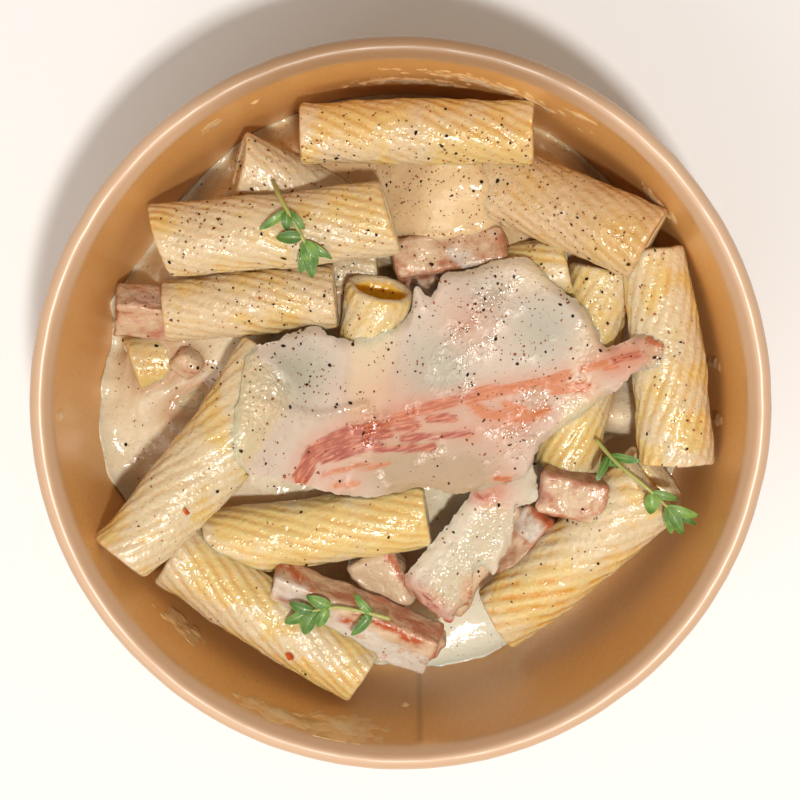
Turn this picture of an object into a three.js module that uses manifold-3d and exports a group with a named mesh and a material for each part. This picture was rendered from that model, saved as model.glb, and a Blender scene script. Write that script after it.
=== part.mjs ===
// Rigatoni carbonara in a round paper bowl, in millimetres, +Z up.
// The origin is the centre of the bowl's standing ring, on the table.
// Every rigatone, bacon piece and thyme sprig is a solid of its own, the sauce is the solid
// that fills the bowl up to its uneven surface, and a thin cured slice is draped over the top.

import * as THREE from 'three';
import * as BufferGeometryUtils from 'three/addons/utils/BufferGeometryUtils.js';
import Module from 'manifold-3d';

const wasm = await Module();
wasm.setup();

// ---------------------------------------------------------------- driving dimensions

const GAP = 0.3;                 // left between pieces that touch

const BOWL = {
  rimRadius: 75,                 // outside of the rolled rim
  height: 60,
  beadRadius: 2,                 // the rolled rim's own radius
  baseRadius: 63,                // outside of the standing ring
  wall: 0.9,
  ringWidth: 1.8,
  floorTop: 6.4,
  floorThickness: 1.0,
  segments: 64,
  beadSteps: 5,
};

const PASTA = {
  wall: 1.7,
  ridge: 0.4,                    // height of a ridge over its groove
  ridges: 18,
  boreSides: 10,
  steps: 2,
  envelopeSides: 10,
};

const MEAT = {
  roundness: 0.12,               // share by which the corners are drawn in
  unevenness: 0.45,
  endDraw: 0.5,                  // how much less the ends are drawn in along the piece
};

const SAUCE = {
  level: 24,                     // height of the surface before it rises or sinks
  shoreFrom: 0.86,               // share of the radius where it starts to turn to its shore
  rings: [0.96, 0.91, 0.86, 0.76, 0.64, 0.48, 0.32, 0.16, 0],
  segments: 36,
};

const SLICE = {
  thickness: 1.2,
  clearance: 0.45,
  rings: [0.3, 0.55, 0.78, 1],
  edgePoints: 56,
  reach: 2.4,                    // how far round a point its support is felt
  sag: 0.05,                     // how far it drops under the mean of its neighbours
  relaxSteps: 60,
};

const THYME = {
  stemRadius: 0.5,
  stemSteps: 6,
  stemSides: 4,
  leafThickness: 0.4,
  leafBase: 0.2,                 // width at the stalk and at the tip, as shares of the full width
  leafTip: 0.3,
  leafTwist: 0.25,
  leafDroop: 0.5,
  clearance: 0.45,
  reach: 1.8,
};

// Rigatoni from the top of the pile down. from and to are the ends of the axis, width and
// height the oval section, ends the scale of the section at the two ends, bend the sideways
// bow at mid length, and cut the slope of the end faces across the width and the height.
const RIGATONI = [
  { name: 'rigatone_left_wall', from: [-26.2, 7.4, 38], to: [-58.8, -32.1, 48.5],
    width: 17.8, height: 13.8, ends: [0.98, 0.76], bend: 2.0 },
  { name: 'rigatone_back_right', from: [13.5, 46.8, 31], to: [51.3, 32.9, 41.5],
    width: 16.6, height: 13.6, ends: [0.94, 0.96], bend: 0.6, cutTo: [0.16, 0] },
  { name: 'rigatone_back', from: [-20.6, 55.3, 37.5], to: [27.2, 55.6, 38.5],
    width: 13.8, height: 13.0, ends: [0.92, 0.96], bend: 0.5 },
  { name: 'rigatone_left_upper', from: [-50.4, 33.3, 38.5], to: [-2.4, 38.2, 39.5],
    width: 15.6, height: 13.2, ends: [1.0, 1.0], bend: -0.5, cutFrom: [-0.22, 0],
    cutTo: [-0.2, 0] },
  { name: 'rigatone_right_wall', from: [52.6, 31.3, 37], to: [57.8, -13.4, 41.5],
    width: 15.8, height: 13.4, ends: [0.86, 1.0], bend: 0.8, cutTo: [0.1, 0] },
  { name: 'rigatone_left_middle', from: [-49.8, 18.2, 35.5], to: [-14.0, 21.4, 36],
    width: 14.2, height: 13.0, ends: [0.92, 0.97], bend: 0.3 },
  { name: 'rigatone_front_middle', from: [-41.6, -31.8, 36.5], to: [5.4, -25.2, 37],
    width: 15.2, height: 13.0, ends: [0.94, 0.9], bend: -0.6 },
  { name: 'rigatone_front_left', from: [-48.4, -33.4, 38.5], to: [-8.2, -60.0, 41],
    width: 15.4, height: 12.8, ends: [1.0, 0.82], bend: -0.6 },
  { name: 'rigatone_front_right', from: [20.9, -49.6, 32], to: [54.0, -17.4, 40],
    width: 16.6, height: 13.6, ends: [0.88, 1.06], bend: -0.6, cutFrom: [0.2, 0],
    cutTo: [0.06, -0.55] },
  { name: 'rigatone_centre', from: [-9.0, -15.5, 33], to: [-4.4, 23.0, 36],
    width: 14.6, height: 11.6, ends: [1.0, 1.0], bend: 0, cutTo: [0.1, -0.32] },
  { name: 'rigatone_right_inner', from: [42.8, 26.9, 32], to: [35.6, -15.8, 34],
    width: 15.0, height: 12.8, ends: [0.96, 0.94], bend: -0.5 },
  { name: 'rigatone_under_slice', from: [10.4, 21.9, 30.7], to: [35.2, 27.4, 33],
    width: 13.4, height: 12.2, ends: [1.0, 1.0], bend: 0 },
  { name: 'rigatone_left_low', from: [-30.0, 23.7, 25.5], to: [-5.6, 26.8, 28.5],
    width: 13.0, height: 12.6, ends: [1.0, 1.0], bend: 0 },
  { name: 'rigatone_back_left', from: [-34.2, 48.8, 31.5], to: [0.5, 33.2, 22],
    width: 14.0, height: 13.0, ends: [1.0, 1.0], bend: 0, cutFrom: [-0.2, 0] },
  { name: 'rigatone_left_sunk', from: [-58.8, 5.0, 25], to: [-26.0, 12.6, 17],
    width: 13.6, height: 12.6, ends: [1.0, 1.0], bend: 0, cutFrom: [-0.1, 0] },
  { name: 'rigatone_left_deep', from: [-50.2, -7.2, 23.2], to: [-38.0, 6.0, 22],
    width: 13.0, height: 12.0, ends: [0.9, 1.0], bend: 0 },
];

// Bacon pieces from the top down: from and to are the ends of the axis, with a roughly
// square section whose turn about the axis is in degrees.
const BACON = [
  { name: 'bacon_front', from: [-28.0, -39.8, 41], to: [7.2, -54.6, 39],
    width: 10.6, height: 8.2, turn: 24 },
  { name: 'bacon_right', from: [29.2, -18.4, 39.5], to: [43.6, -21.6, 40.5],
    width: 9.4, height: 8.4, turn: 10 },
  { name: 'bacon_coated', from: [22.4, -20.2, 37], to: [8.0, -47.6, 34],
    width: 13.4, height: 9.5, turn: -6 },
  { name: 'bacon_front_inner', from: [-6.8, -33.6, 34.5], to: [-1.2, -46.2, 32.5],
    width: 11.2, height: 9.0, turn: 8 },
  { name: 'bacon_between', from: [31.4, -25.0, 33], to: [21.0, -39.6, 29.5],
    width: 8.6, height: 8.6, turn: 20 },
  { name: 'bacon_front_tip', from: [4.4, -53.4, 32], to: [9.0, -55.8, 31],
    width: 6.2, height: 6.0, turn: 30 },
  { name: 'bacon_back', from: [-1.8, 28.6, 32], to: [22.6, 32.0, 33.5],
    width: 9.4, height: 8.4, turn: -14 },
  { name: 'bacon_left', from: [-61.6, 17.8, 30], to: [-46.5, 16.4, 28.5],
    width: 9.4, height: 8.6, turn: 32 },
  { name: 'bacon_dark', from: [1.0, 22.0, 29.5], to: [9.4, 22.6, 30.5],
    width: 8.0, height: 7.0, turn: 12 },
  { name: 'bacon_small', from: [-48.4, 8.6, 30.5], to: [-43.6, 4.2, 30.8],
    width: 6.4, height: 6.0, turn: 35 },
];

// Rises and hollows of the sauce over its level at the wall: place, spread and height.
const MOUNDS = [
  { at: [0, 0], spread: 30, rise: 8.5 },
  { at: [10, 43], spread: 11, rise: 9.5 },
  { at: [34, 50], spread: 9, rise: 4.5 },
  { at: [-56, -4], spread: 13, rise: 2.2 },
  { at: [-38, 4], spread: 9, rise: 3.6 },
  { at: [-30, -20], spread: 14, rise: 3.0 },
  { at: [46, -14], spread: 6, rise: -6.0 },
  { at: [-12, -41], spread: 5, rise: -5.0 },
  { at: [-1, 26], spread: 4, rise: -7.0 },
  { at: [20, -62], spread: 15, rise: -11 },
];

// The shore, where the sauce meets the wall: direction in degrees anticlockwise from +X, height.
const SHORE = [
  [-180, 24], [-172, 27.5], [-165, 28], [-158, 23], [-146, 13], [-105, 12], [-95, 15],
  [-84, 16.5], [-76, 15.5], [-67, 13.5], [-55, 11.5], [-20, 12], [10, 12], [45, 11.5],
  [90, 10], [112, 11.5], [121, 13.5], [132, 10], [150, 10.5], [157, 17], [163, 24],
  [168, 19], [172, 17.5], [176, 21], [180, 24],
];

// Outline of the cured slice, anticlockwise seen from above.
const SLICE_OUTLINE = [
  [-32.0, 10.2], [-33.4, 3.0], [-34.8, -4.0], [-34.6, -10.6], [-31.6, -15.2], [-23.0, -17.6],
  [-13.2, -20.2], [-5.6, -21.0], [4.7, -18.8], [11.6, -20.2], [19.4, -18.6], [26.5, -15.9],
  [29.4, -9.9], [37.0, -4.2], [45.3, 2.4], [49.2, 6.2], [53.4, 7.8], [54.6, 12.2],
  [50.6, 14.3], [43.4, 11.2], [41.2, 14.4], [38.8, 19.0], [32.2, 24.4], [26.8, 29.4],
  [20.6, 29.4], [13.4, 27.0], [9.2, 26.6], [6.1, 21.8], [3.2, 23.8], [1.4, 17.4],
  [-6.0, 13.4], [-13.0, 13.0], [-18.2, 15.6], [-25.6, 13.0],
];

// Thyme sprigs: the stem's points in plan, then each leaf as the place along the stem from 0
// to 1, its heading in degrees anticlockwise from +X, its length and its width.
const SPRIGS = [
  { name: 'thyme_back_left', stem: [[-26.7, 45.6], [-22.9, 39.4], [-20.6, 35.2], [-19.2, 32.6]],
    leaves: [[0.28, 221, 7.0, 1.8], [0.28, 272, 4.2, 2.5], [0.28, 308, 5.4, 2.1], [0.73, 175, 5.4, 2.8],
      [0.84, 299, 6.0, 3.5], [0.84, 332, 7.0, 1.6], [0.97, 262, 6.0, 2.3], [0.98, 284, 6.6, 2.8],
      [0.96, 327, 4.8, 1.5]] },
  { name: 'thyme_right', stem: [[41.2, -8.6], [44.9, -12.5], [51.0, -17.3], [56.2, -22.2]],
    leaves: [[0.27, 237, 5.9, 1.8], [0.27, 275, 2.6, 1.3], [0.28, 303, 2.6, 1.4], [0.27, 353, 6.4, 1.9],
      [0.73, 272, 4.8, 3.1], [0.74, 350, 5.8, 1.9], [0.96, 281, 6.3, 2.1], [0.97, 306, 7.2, 2.6],
      [0.98, 329, 6.8, 1.8], [0.96, 337, 7.2, 2.3]] },
  { name: 'thyme_front', stem: [[-2.2, -46.0], [-6.7, -44.7], [-13.0, -43.4], [-19.0, -44.2]],
    leaves: [[0.28, 136, 5.7, 1.9], [0.28, 229, 6.5, 2.2], [0.30, 201, 3.0, 1.1], [0.76, 149, 5.9, 2.7],
      [0.97, 169, 5.5, 2.5], [0.98, 205, 6.1, 2.5], [0.97, 241, 5.6, 3.2], [0.92, 247, 6.2, 1.7],
      [0.80, 238, 4.8, 2.4]] },
];

const COLOURS = {
  kraft: '#c68f5c',
  sauce: '#ecd6b4',
  pasta: '#edd08a',
  bacon: '#d3937c',
  baconDark: '#8d6f62',
  slice: '#dcc3b0',
  thyme: '#5f9a4a',
};

// ---------------------------------------------------------------- solids and joins

/** A geometry with its shared corners merged, as a solid that can be joined and cut. */
function solidOf(geometry) {
  const bare = geometry.index ? geometry.toNonIndexed() : geometry.clone();
  for (const attribute of Object.keys(bare.attributes)) {
    if (attribute !== 'position') bare.deleteAttribute(attribute);
  }
  const merged = BufferGeometryUtils.mergeVertices(bare, 1e-4);
  return new wasm.Manifold(new wasm.Mesh({
    numProp: 3,
    vertProperties: new Float32Array(merged.attributes.position.array),
    triVerts: new Uint32Array(merged.index.array),
  }));
}

/** A solid back as a geometry with flat faces. */
function geometryOf(solid) {
  const { vertProperties, triVerts } = solid.getMesh();
  const geometry = new THREE.BufferGeometry();
  geometry.setAttribute('position', new THREE.BufferAttribute(new Float32Array(vertProperties), 3));
  geometry.setIndex(new THREE.BufferAttribute(new Uint32Array(triVerts), 1));
  const faceted = geometry.toNonIndexed();
  faceted.computeVertexNormals();
  return faceted;
}

function namedMesh(name, geometry, colour, roughness = 0.5) {
  const material = new THREE.MeshStandardMaterial({ color: colour, roughness, metalness: 0 });
  const mesh = new THREE.Mesh(geometry, material);
  mesh.name = name;
  return mesh;
}

/** Moves every corner of a geometry by a function of its place. */
function reshape(geometry, move) {
  const position = geometry.attributes.position;
  const corner = new THREE.Vector3();
  for (let i = 0; i < position.count; i += 1) {
    corner.fromBufferAttribute(position, i);
    move(corner);
    position.setXYZ(i, corner.x, corner.y, corner.z);
  }
  return geometry;
}

/** Puts a mesh made along its own +Z with its start at from, pointing to to, its +Y upwards. */
function layAlong(mesh, from, to) {
  const axis = new THREE.Vector3().subVectors(to, from).normalize();
  const side = new THREE.Vector3(0, 0, 1).cross(axis).normalize();
  const up = new THREE.Vector3().crossVectors(axis, side);
  mesh.position.copy(from);
  mesh.quaternion.setFromRotationMatrix(new THREE.Matrix4().makeBasis(side, up, axis));
  mesh.updateMatrixWorld(true);
  return mesh;
}

/** The mesh's solid in the object's frame. */
function placedSolid(mesh) {
  return solidOf(mesh.geometry.clone().applyMatrix4(mesh.matrixWorld));
}

/** Takes the room of other pieces out of a placed mesh, where they press into it. */
function makeRoom(mesh, rooms) {
  let solid = placedSolid(mesh);
  let changed = false;
  for (const room of rooms) {
    if (solid.intersect(room).isEmpty()) continue;
    solid = solid.subtract(room);
    changed = true;
  }
  if (!changed) return;
  const parts = solid.decompose();
  parts.sort((a, b) => b.volume() - a.volume());
  const local = mesh.matrixWorld.clone().invert();
  mesh.geometry = geometryOf(parts[0]).applyMatrix4(local);
}

// ---------------------------------------------------------------- bowl

/** Inside radius of the bowl's wall at a height. */
function innerRadius(height) {
  const { rimRadius, height: top, beadRadius, baseRadius, wall } = BOWL;
  const wallTop = rimRadius - 2 * beadRadius + wall / 2;
  const slope = (wallTop - baseRadius) / (top - beadRadius);
  return baseRadius - wall + slope * height;
}

function buildBowl() {
  const { rimRadius, height, beadRadius, baseRadius, wall, ringWidth, floorTop, floorThickness } = BOWL;
  const floorBottom = floorTop - floorThickness;
  const beadSweep = Math.PI * 1.25;
  const beadCentre = { r: rimRadius - beadRadius, z: height - beadRadius };
  const profile = [
    [0, floorBottom],
    [baseRadius - ringWidth, floorBottom],
    [baseRadius - ringWidth, 0],
    [baseRadius, 0],
  ];
  const underBead = beadCentre.z - beadRadius;
  profile.push([innerRadius(underBead) + wall, underBead]);
  for (let i = 0; i <= BOWL.beadSteps; i += 1) {
    const angle = -Math.PI / 2 + (i / BOWL.beadSteps) * beadSweep;
    const r = beadCentre.r + beadRadius * Math.cos(angle);
    profile.push([r, beadCentre.z + beadRadius * Math.sin(angle)]);
  }
  const insideBead = beadCentre.z - beadRadius / 2;
  profile.push([innerRadius(insideBead), insideBead]);
  profile.push([innerRadius(floorTop), floorTop]);
  profile.push([0, floorTop]);
  const points = profile.map(([r, z]) => new THREE.Vector2(r, z));
  const geometry = new THREE.LatheGeometry(points, BOWL.segments);
  geometry.rotateX(Math.PI / 2);
  return namedMesh('bowl', geometryOf(solidOf(geometry)), COLOURS.kraft, 0.7);
}

/** The room outside the bowl's wall, which food leaning on the wall is flattened by. */
function wallRoom() {
  const outside = BOWL.rimRadius + 20;
  const profile = [
    new THREE.Vector2(innerRadius(0) - GAP, 0),
    new THREE.Vector2(outside, 0),
    new THREE.Vector2(outside, BOWL.height),
    new THREE.Vector2(innerRadius(BOWL.height) - GAP, BOWL.height),
    new THREE.Vector2(innerRadius(0) - GAP, 0),
  ];
  const geometry = new THREE.LatheGeometry(profile, BOWL.segments);
  return solidOf(geometry.rotateX(Math.PI / 2));
}

// ---------------------------------------------------------------- rigatoni

/** Outline of a tube's section: ridged when ridges is set, else a plain oval. */
function sectionPoints(halfWidth, halfHeight, sides, ridge = 0) {
  const points = [];
  for (let i = 0; i < sides; i += 1) {
    const angle = (i / sides) * 2 * Math.PI;
    const drop = i % 2 === 0 ? 0 : ridge;
    const x = (halfWidth - drop) * Math.cos(angle);
    const y = (halfHeight - drop) * Math.sin(angle);
    points.push(new THREE.Vector2(x, y));
  }
  return points;
}

/** Bends a straight tube from z = 0 to its length, and shapes its two ends. */
function shapeTube(geometry, spec, length) {
  const [startScale, endScale] = spec.ends;
  const cutFrom = spec.cutFrom ?? [0, 0];
  const cutTo = spec.cutTo ?? [0, 0];
  return reshape(geometry, (corner) => {
    const t = THREE.MathUtils.clamp(corner.z / length, 0, 1);
    const towardsStart = (1 - t) ** 2;
    const towardsEnd = t ** 2;
    const scale = 1 + (startScale - 1) * towardsStart + (endScale - 1) * towardsEnd;
    corner.x *= scale;
    corner.y *= scale;
    corner.z += towardsStart * (cutFrom[0] * corner.x + cutFrom[1] * corner.y);
    corner.z += towardsEnd * (cutTo[0] * corner.x + cutTo[1] * corner.y);
    corner.x += spec.bend * 4 * t * (1 - t);
  });
}

function buildRigatone(spec) {
  const from = new THREE.Vector3(...spec.from);
  const to = new THREE.Vector3(...spec.to);
  const length = from.distanceTo(to);
  const halfWidth = spec.width / 2;
  const halfHeight = spec.height / 2;

  const ridged = sectionPoints(halfWidth, halfHeight, 2 * PASTA.ridges, PASTA.ridge);
  const bore = sectionPoints(halfWidth - PASTA.wall, halfHeight - PASTA.wall, PASTA.boreSides);
  const outline = new THREE.Shape(ridged);
  outline.holes.push(new THREE.Path(bore.reverse()));
  const run = { depth: length, steps: PASTA.steps, bevelEnabled: false };
  const tube = shapeTube(new THREE.ExtrudeGeometry(outline, run), spec, length);
  const mesh = layAlong(namedMesh(spec.name, tube, COLOURS.pasta), from, to);

  const reach = 1 / Math.cos(Math.PI / PASTA.envelopeSides);
  const roomOutline = new THREE.Shape(sectionPoints(
    (halfWidth + GAP) * reach, (halfHeight + GAP) * reach, PASTA.envelopeSides));
  const room = shapeTube(new THREE.ExtrudeGeometry(roomOutline, run), spec, length);
  reshape(room, (corner) => {
    if (corner.z < length / 4) corner.z -= GAP;
    if (corner.z > length * 3 / 4) corner.z += GAP;
  });
  return { mesh, room: solidOf(room.applyMatrix4(mesh.matrixWorld)) };
}

// ---------------------------------------------------------------- bacon

/** A block with rounded, slightly uneven sides, along +Z from 0 to its length. */
function buildBacon(spec, index) {
  const from = new THREE.Vector3(...spec.from);
  const to = new THREE.Vector3(...spec.to);
  const length = from.distanceTo(to);
  const turn = THREE.MathUtils.degToRad(spec.turn);
  const { roundness, unevenness, endDraw } = MEAT;

  const block = new THREE.BoxGeometry(spec.width, spec.height, length, 2, 2, 3);
  reshape(block, (corner) => {
    const u = corner.x / (spec.width / 2);
    const v = corner.y / (spec.height / 2);
    const w = corner.z / (length / 2);
    const shrink = roundness * (u * u * v * v + endDraw * w * w * (u * u + v * v));
    const wave = unevenness * Math.sin(2 * w + 1.7 * index + 2 * v) * (1 - endDraw * w * w);
    corner.x = corner.x * (1 - shrink) + wave / 2;
    corner.y = corner.y * (1 - shrink) - Math.abs(wave / 2) * v;
    corner.z *= 1 - endDraw * shrink;
  });
  block.rotateZ(turn).translate(0, 0, length / 2);
  const colour = spec.name === 'bacon_dark' ? COLOURS.baconDark : COLOURS.bacon;
  const mesh = layAlong(namedMesh(spec.name, block, colour), from, to);

  const grow = 2 * (GAP + unevenness / 2);
  const room = new THREE.BoxGeometry(spec.width + grow, spec.height + 2 * GAP, length + 2 * GAP);
  room.rotateZ(turn).translate(0, 0, length / 2);
  return { mesh, room: solidOf(room.applyMatrix4(mesh.matrixWorld)) };
}

// ---------------------------------------------------------------- sauce

/** Height of the shore in a direction in degrees. */
function shoreHeight(degrees) {
  const next = SHORE.findIndex(([direction]) => direction >= degrees);
  const [toDirection, toHeight] = SHORE[Math.max(1, next)];
  const [fromDirection, fromHeight] = SHORE[Math.max(1, next) - 1];
  const share = THREE.MathUtils.smoothstep(degrees, fromDirection, toDirection);
  return THREE.MathUtils.lerp(fromHeight, toHeight, share);
}

/** Height of the sauce's surface over a point in plan. */
function sauceHeight(x, y) {
  let height = SAUCE.level;
  for (const { at, spread, rise } of MOUNDS) {
    const distance = Math.hypot(x - at[0], y - at[1]);
    height += rise * Math.exp(-(distance ** 2) / (2 * spread ** 2));
  }
  const radius = Math.hypot(x, y);
  const wallRadius = innerRadius(SAUCE.level) - GAP;
  const nearness = THREE.MathUtils.smoothstep(radius, SAUCE.shoreFrom * wallRadius, wallRadius);
  const shore = shoreHeight(THREE.MathUtils.radToDeg(Math.atan2(y, x)));
  return THREE.MathUtils.lerp(height, shore, nearness);
}

function buildSauce() {
  const bottom = BOWL.floorTop + GAP;
  const rimRadius = innerRadius(SAUCE.level) - GAP;
  const profile = [
    new THREE.Vector2(0, bottom),
    new THREE.Vector2(innerRadius(bottom) - GAP, bottom),
    new THREE.Vector2(rimRadius, SAUCE.level),
    ...SAUCE.rings.map((share) => new THREE.Vector2(rimRadius * share, SAUCE.level)),
  ];
  const geometry = new THREE.LatheGeometry(profile, SAUCE.segments);
  geometry.rotateX(Math.PI / 2);
  reshape(geometry, (corner) => {
    if (corner.z <= bottom) return;
    const height = sauceHeight(corner.x, corner.y);
    const radius = Math.hypot(corner.x, corner.y);
    const share = radius / rimRadius;
    const stretch = (innerRadius(height) - GAP) / rimRadius;
    corner.x *= 1 + (stretch - 1) * share;
    corner.y *= 1 + (stretch - 1) * share;
    corner.z = height;
  });
  return namedMesh('sauce', geometry, COLOURS.sauce, 0.35);
}

// ---------------------------------------------------------------- what lies on top

const ray = new THREE.Raycaster();

/** Height of the highest piece over a point in plan. */
function topHeight(x, y, pieces) {
  ray.set(new THREE.Vector3(x, y, 200), new THREE.Vector3(0, 0, -1));
  const hits = ray.intersectObjects(pieces, false);
  return hits.length > 0 ? hits[0].point.z : SAUCE.level;
}

/** Height of the highest piece near a point in plan. */
function supportHeight(x, y, reach, pieces) {
  let height = topHeight(x, y, pieces);
  const directions = 8;
  for (let i = 0; i < directions; i += 1) {
    const angle = (i / directions) * 2 * Math.PI;
    const nearX = x + reach * Math.cos(angle);
    const nearY = y + reach * Math.sin(angle);
    height = Math.max(height, topHeight(nearX, nearY, pieces));
  }
  return height;
}

/** The slice: a fan of rings inside its outline, draped, with a lower and an upper face alike. */
function buildSlice(pieces) {
  const curve = new THREE.CatmullRomCurve3(
    SLICE_OUTLINE.map(([x, y]) => new THREE.Vector3(x, y, 0)), true, 'centripetal');
  const edge = curve.getSpacedPoints(SLICE.edgePoints).slice(0, SLICE.edgePoints);
  const centre = new THREE.Vector3();
  for (const point of edge) centre.addScaledVector(point, 1 / edge.length);

  const rings = SLICE.rings.map((share) => edge.map((point) => centre.clone().lerp(point, share)));
  const places = [centre, ...rings.flat()];
  const count = SLICE.edgePoints;
  const indexOf = (ring, i) => 1 + ring * count + ((i + count) % count);
  const neighbours = places.map(() => []);
  rings.forEach((ring, r) => ring.forEach((point, i) => {
    const list = neighbours[indexOf(r, i)];
    list.push(indexOf(r, i - 1), indexOf(r, i + 1), r === 0 ? 0 : indexOf(r - 1, i));
    if (r < rings.length - 1) list.push(indexOf(r + 1, i));
    if (r === 0) neighbours[0].push(indexOf(r, i));
  }));

  const support = places.map((point) => {
    return supportHeight(point.x, point.y, SLICE.reach, pieces) + SLICE.clearance;
  });
  const heights = [...support];
  for (let step = 0; step < SLICE.relaxSteps; step += 1) {
    for (let i = 0; i < places.length; i += 1) {
      const mean = neighbours[i].reduce((sum, j) => sum + heights[j], 0) / neighbours[i].length;
      heights[i] = Math.max(support[i], mean - SLICE.sag);
    }
  }

  const position = [];
  for (const lift of [0, SLICE.thickness]) {
    places.forEach((point, i) => position.push(point.x, point.y, heights[i] + lift));
  }
  const top = places.length;
  const faces = [];
  const bothFaces = (a, b, c) => faces.push(top + a, top + b, top + c, a, c, b);
  for (let i = 0; i < count; i += 1) {
    bothFaces(0, indexOf(0, i), indexOf(0, i + 1));
    for (let r = 0; r < rings.length - 1; r += 1) {
      bothFaces(indexOf(r, i), indexOf(r + 1, i), indexOf(r + 1, i + 1));
      bothFaces(indexOf(r, i), indexOf(r + 1, i + 1), indexOf(r, i + 1));
    }
    const a = indexOf(rings.length - 1, i);
    const b = indexOf(rings.length - 1, i + 1);
    faces.push(a, b, top + b, a, top + b, top + a);
  }
  const geometry = new THREE.BufferGeometry();
  geometry.setAttribute('position', new THREE.Float32BufferAttribute(position, 3));
  geometry.setIndex(faces);
  geometry.computeVertexNormals();
  return namedMesh('cured_slice', geometry, COLOURS.slice, 0.3);
}

/** A slightly twisted, pointed leaf along +X from its base at the origin. */
function leafGeometry(length, width) {
  const leaf = new THREE.BoxGeometry(length, width, THYME.leafThickness, 3, 1, 1);
  leaf.translate(length / 2, 0, 0);
  return reshape(leaf, (corner) => {
    const t = corner.x / length;
    const edge = THREE.MathUtils.lerp(THYME.leafBase, THYME.leafTip, t);
    corner.y *= edge + (1 - edge) * Math.sin(Math.PI * t);
    corner.z += THYME.leafTwist * corner.y * (1 - t) - THYME.leafDroop * t * t;
  });
}

function buildSprig(spec, pieces) {
  const rest = THYME.clearance + THYME.stemRadius;
  const plan = new THREE.CatmullRomCurve3(spec.stem.map(([x, y]) => new THREE.Vector3(x, y, 0)));
  const points = plan.getSpacedPoints(THYME.stemSteps);
  for (const point of points) {
    point.z = supportHeight(point.x, point.y, THYME.reach, pieces) + rest;
  }
  for (let pass = 0; pass < points.length; pass += 1) {
    for (let i = 1; i < points.length - 1; i += 1) {
      points[i].z = Math.max(points[i].z, (points[i - 1].z + points[i + 1].z) / 2);
    }
  }
  const path = new THREE.CatmullRomCurve3(points, false, 'centripetal');
  const section = new THREE.Shape(sectionPoints(THYME.stemRadius, THYME.stemRadius, THYME.stemSides));
  const stem = new THREE.ExtrudeGeometry(section, {
    steps: THYME.stemSteps,
    extrudePath: path,
    bevelEnabled: false,
  });
  let sprig = solidOf(stem);

  for (const [place, heading, length, width] of spec.leaves) {
    const base = path.getPointAt(place);
    const angle = THREE.MathUtils.degToRad(heading);
    const along = new THREE.Vector2(Math.cos(angle), Math.sin(angle));
    let rise = 0;
    for (const share of [0.3, 0.5, 0.75, 1]) {
      const run = length * share;
      const x = base.x + along.x * run;
      const y = base.y + along.y * run;
      const floor = supportHeight(x, y, width / 2, pieces);
      const drop = THYME.leafDroop * share * share;
      rise = Math.max(rise, (floor + THYME.clearance + drop - base.z) / run);
    }
    const leaf = leafGeometry(length, width);
    leaf.rotateY(-Math.atan(rise)).rotateZ(angle).translate(base.x, base.y, base.z);
    sprig = sprig.add(solidOf(leaf));
  }
  return namedMesh(spec.name, geometryOf(sprig), COLOURS.thyme, 0.6);
}

// ---------------------------------------------------------------- the dish

const dish = new THREE.Group();
const bowl = buildBowl();
dish.add(bowl);

const food = [...RIGATONI.map(buildRigatone), ...BACON.map(buildBacon)];
const wall = wallRoom();
food.forEach(({ mesh }, i) => makeRoom(mesh, [wall, ...food.slice(0, i).map(({ room }) => room)]));

const sauce = buildSauce();
makeRoom(sauce, food.map(({ room }) => room));
const carriers = [sauce, ...food.map(({ mesh }) => mesh)];
dish.add(...carriers);

const slice = buildSlice(carriers);
dish.add(slice);
carriers.push(slice);
dish.add(...SPRIGS.map((spec) => buildSprig(spec, carriers)));

export default dish;
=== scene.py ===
"""Rigatoni carbonara in a round kraft bowl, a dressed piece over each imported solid."""

import logging
import math
import random
from collections.abc import Callable, Sequence
from dataclasses import dataclass, field
from enum import Enum

import bmesh
import bpy
import numpy as np
from mathutils import Matrix, Vector, noise
from mathutils.bvhtree import BVHTree


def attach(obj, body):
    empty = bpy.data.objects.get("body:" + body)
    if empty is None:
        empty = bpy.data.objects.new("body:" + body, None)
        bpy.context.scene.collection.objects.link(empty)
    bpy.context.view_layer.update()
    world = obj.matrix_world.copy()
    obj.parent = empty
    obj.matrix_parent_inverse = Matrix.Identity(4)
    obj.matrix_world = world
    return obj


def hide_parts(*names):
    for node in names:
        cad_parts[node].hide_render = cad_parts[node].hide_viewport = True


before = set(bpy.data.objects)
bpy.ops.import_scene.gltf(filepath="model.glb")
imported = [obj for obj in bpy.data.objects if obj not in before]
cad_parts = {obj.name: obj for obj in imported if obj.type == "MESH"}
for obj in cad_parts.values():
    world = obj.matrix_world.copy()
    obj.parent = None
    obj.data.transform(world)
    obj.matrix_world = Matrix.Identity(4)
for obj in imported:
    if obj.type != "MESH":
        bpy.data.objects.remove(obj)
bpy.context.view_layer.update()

LOG = logging.getLogger("carbonara")
MM = 0.001
Spot = tuple[float, float, float]
Plan = tuple[float, float]
Heap = tuple[float, float, float, float]  # across, towards the back, spread and most
WELD = 2e-4  # millimetres


# ---- small helpers


def tint(code: str) -> tuple[float, float, float, float]:
    """Turns a display colour into the linear colour that shaders take.

    Args:
        code: the colour as six hexadecimal digits after a hash sign.

    Returns:
        Linear red, green, blue and an alpha of 1.
    """
    shares = [int(code[i : i + 2], 16) / 255 for i in (1, 3, 5)]
    linear = [c / 12.92 if c <= 0.04045 else ((c + 0.055) / 1.055) ** 2.4 for c in shares]
    return (linear[0], linear[1], linear[2], 1.0)


def lerp(low: float, high: float, share: float) -> float:
    """The value a share of the way from low to high."""
    return low + (high - low) * share


def ease(low: float, high: float, value: float) -> float:
    """Rises smoothly from 0 at low to 1 at high."""
    share = min(1.0, max(0.0, (value - low) / (high - low)))
    return share * share * (3 - 2 * share)


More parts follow.
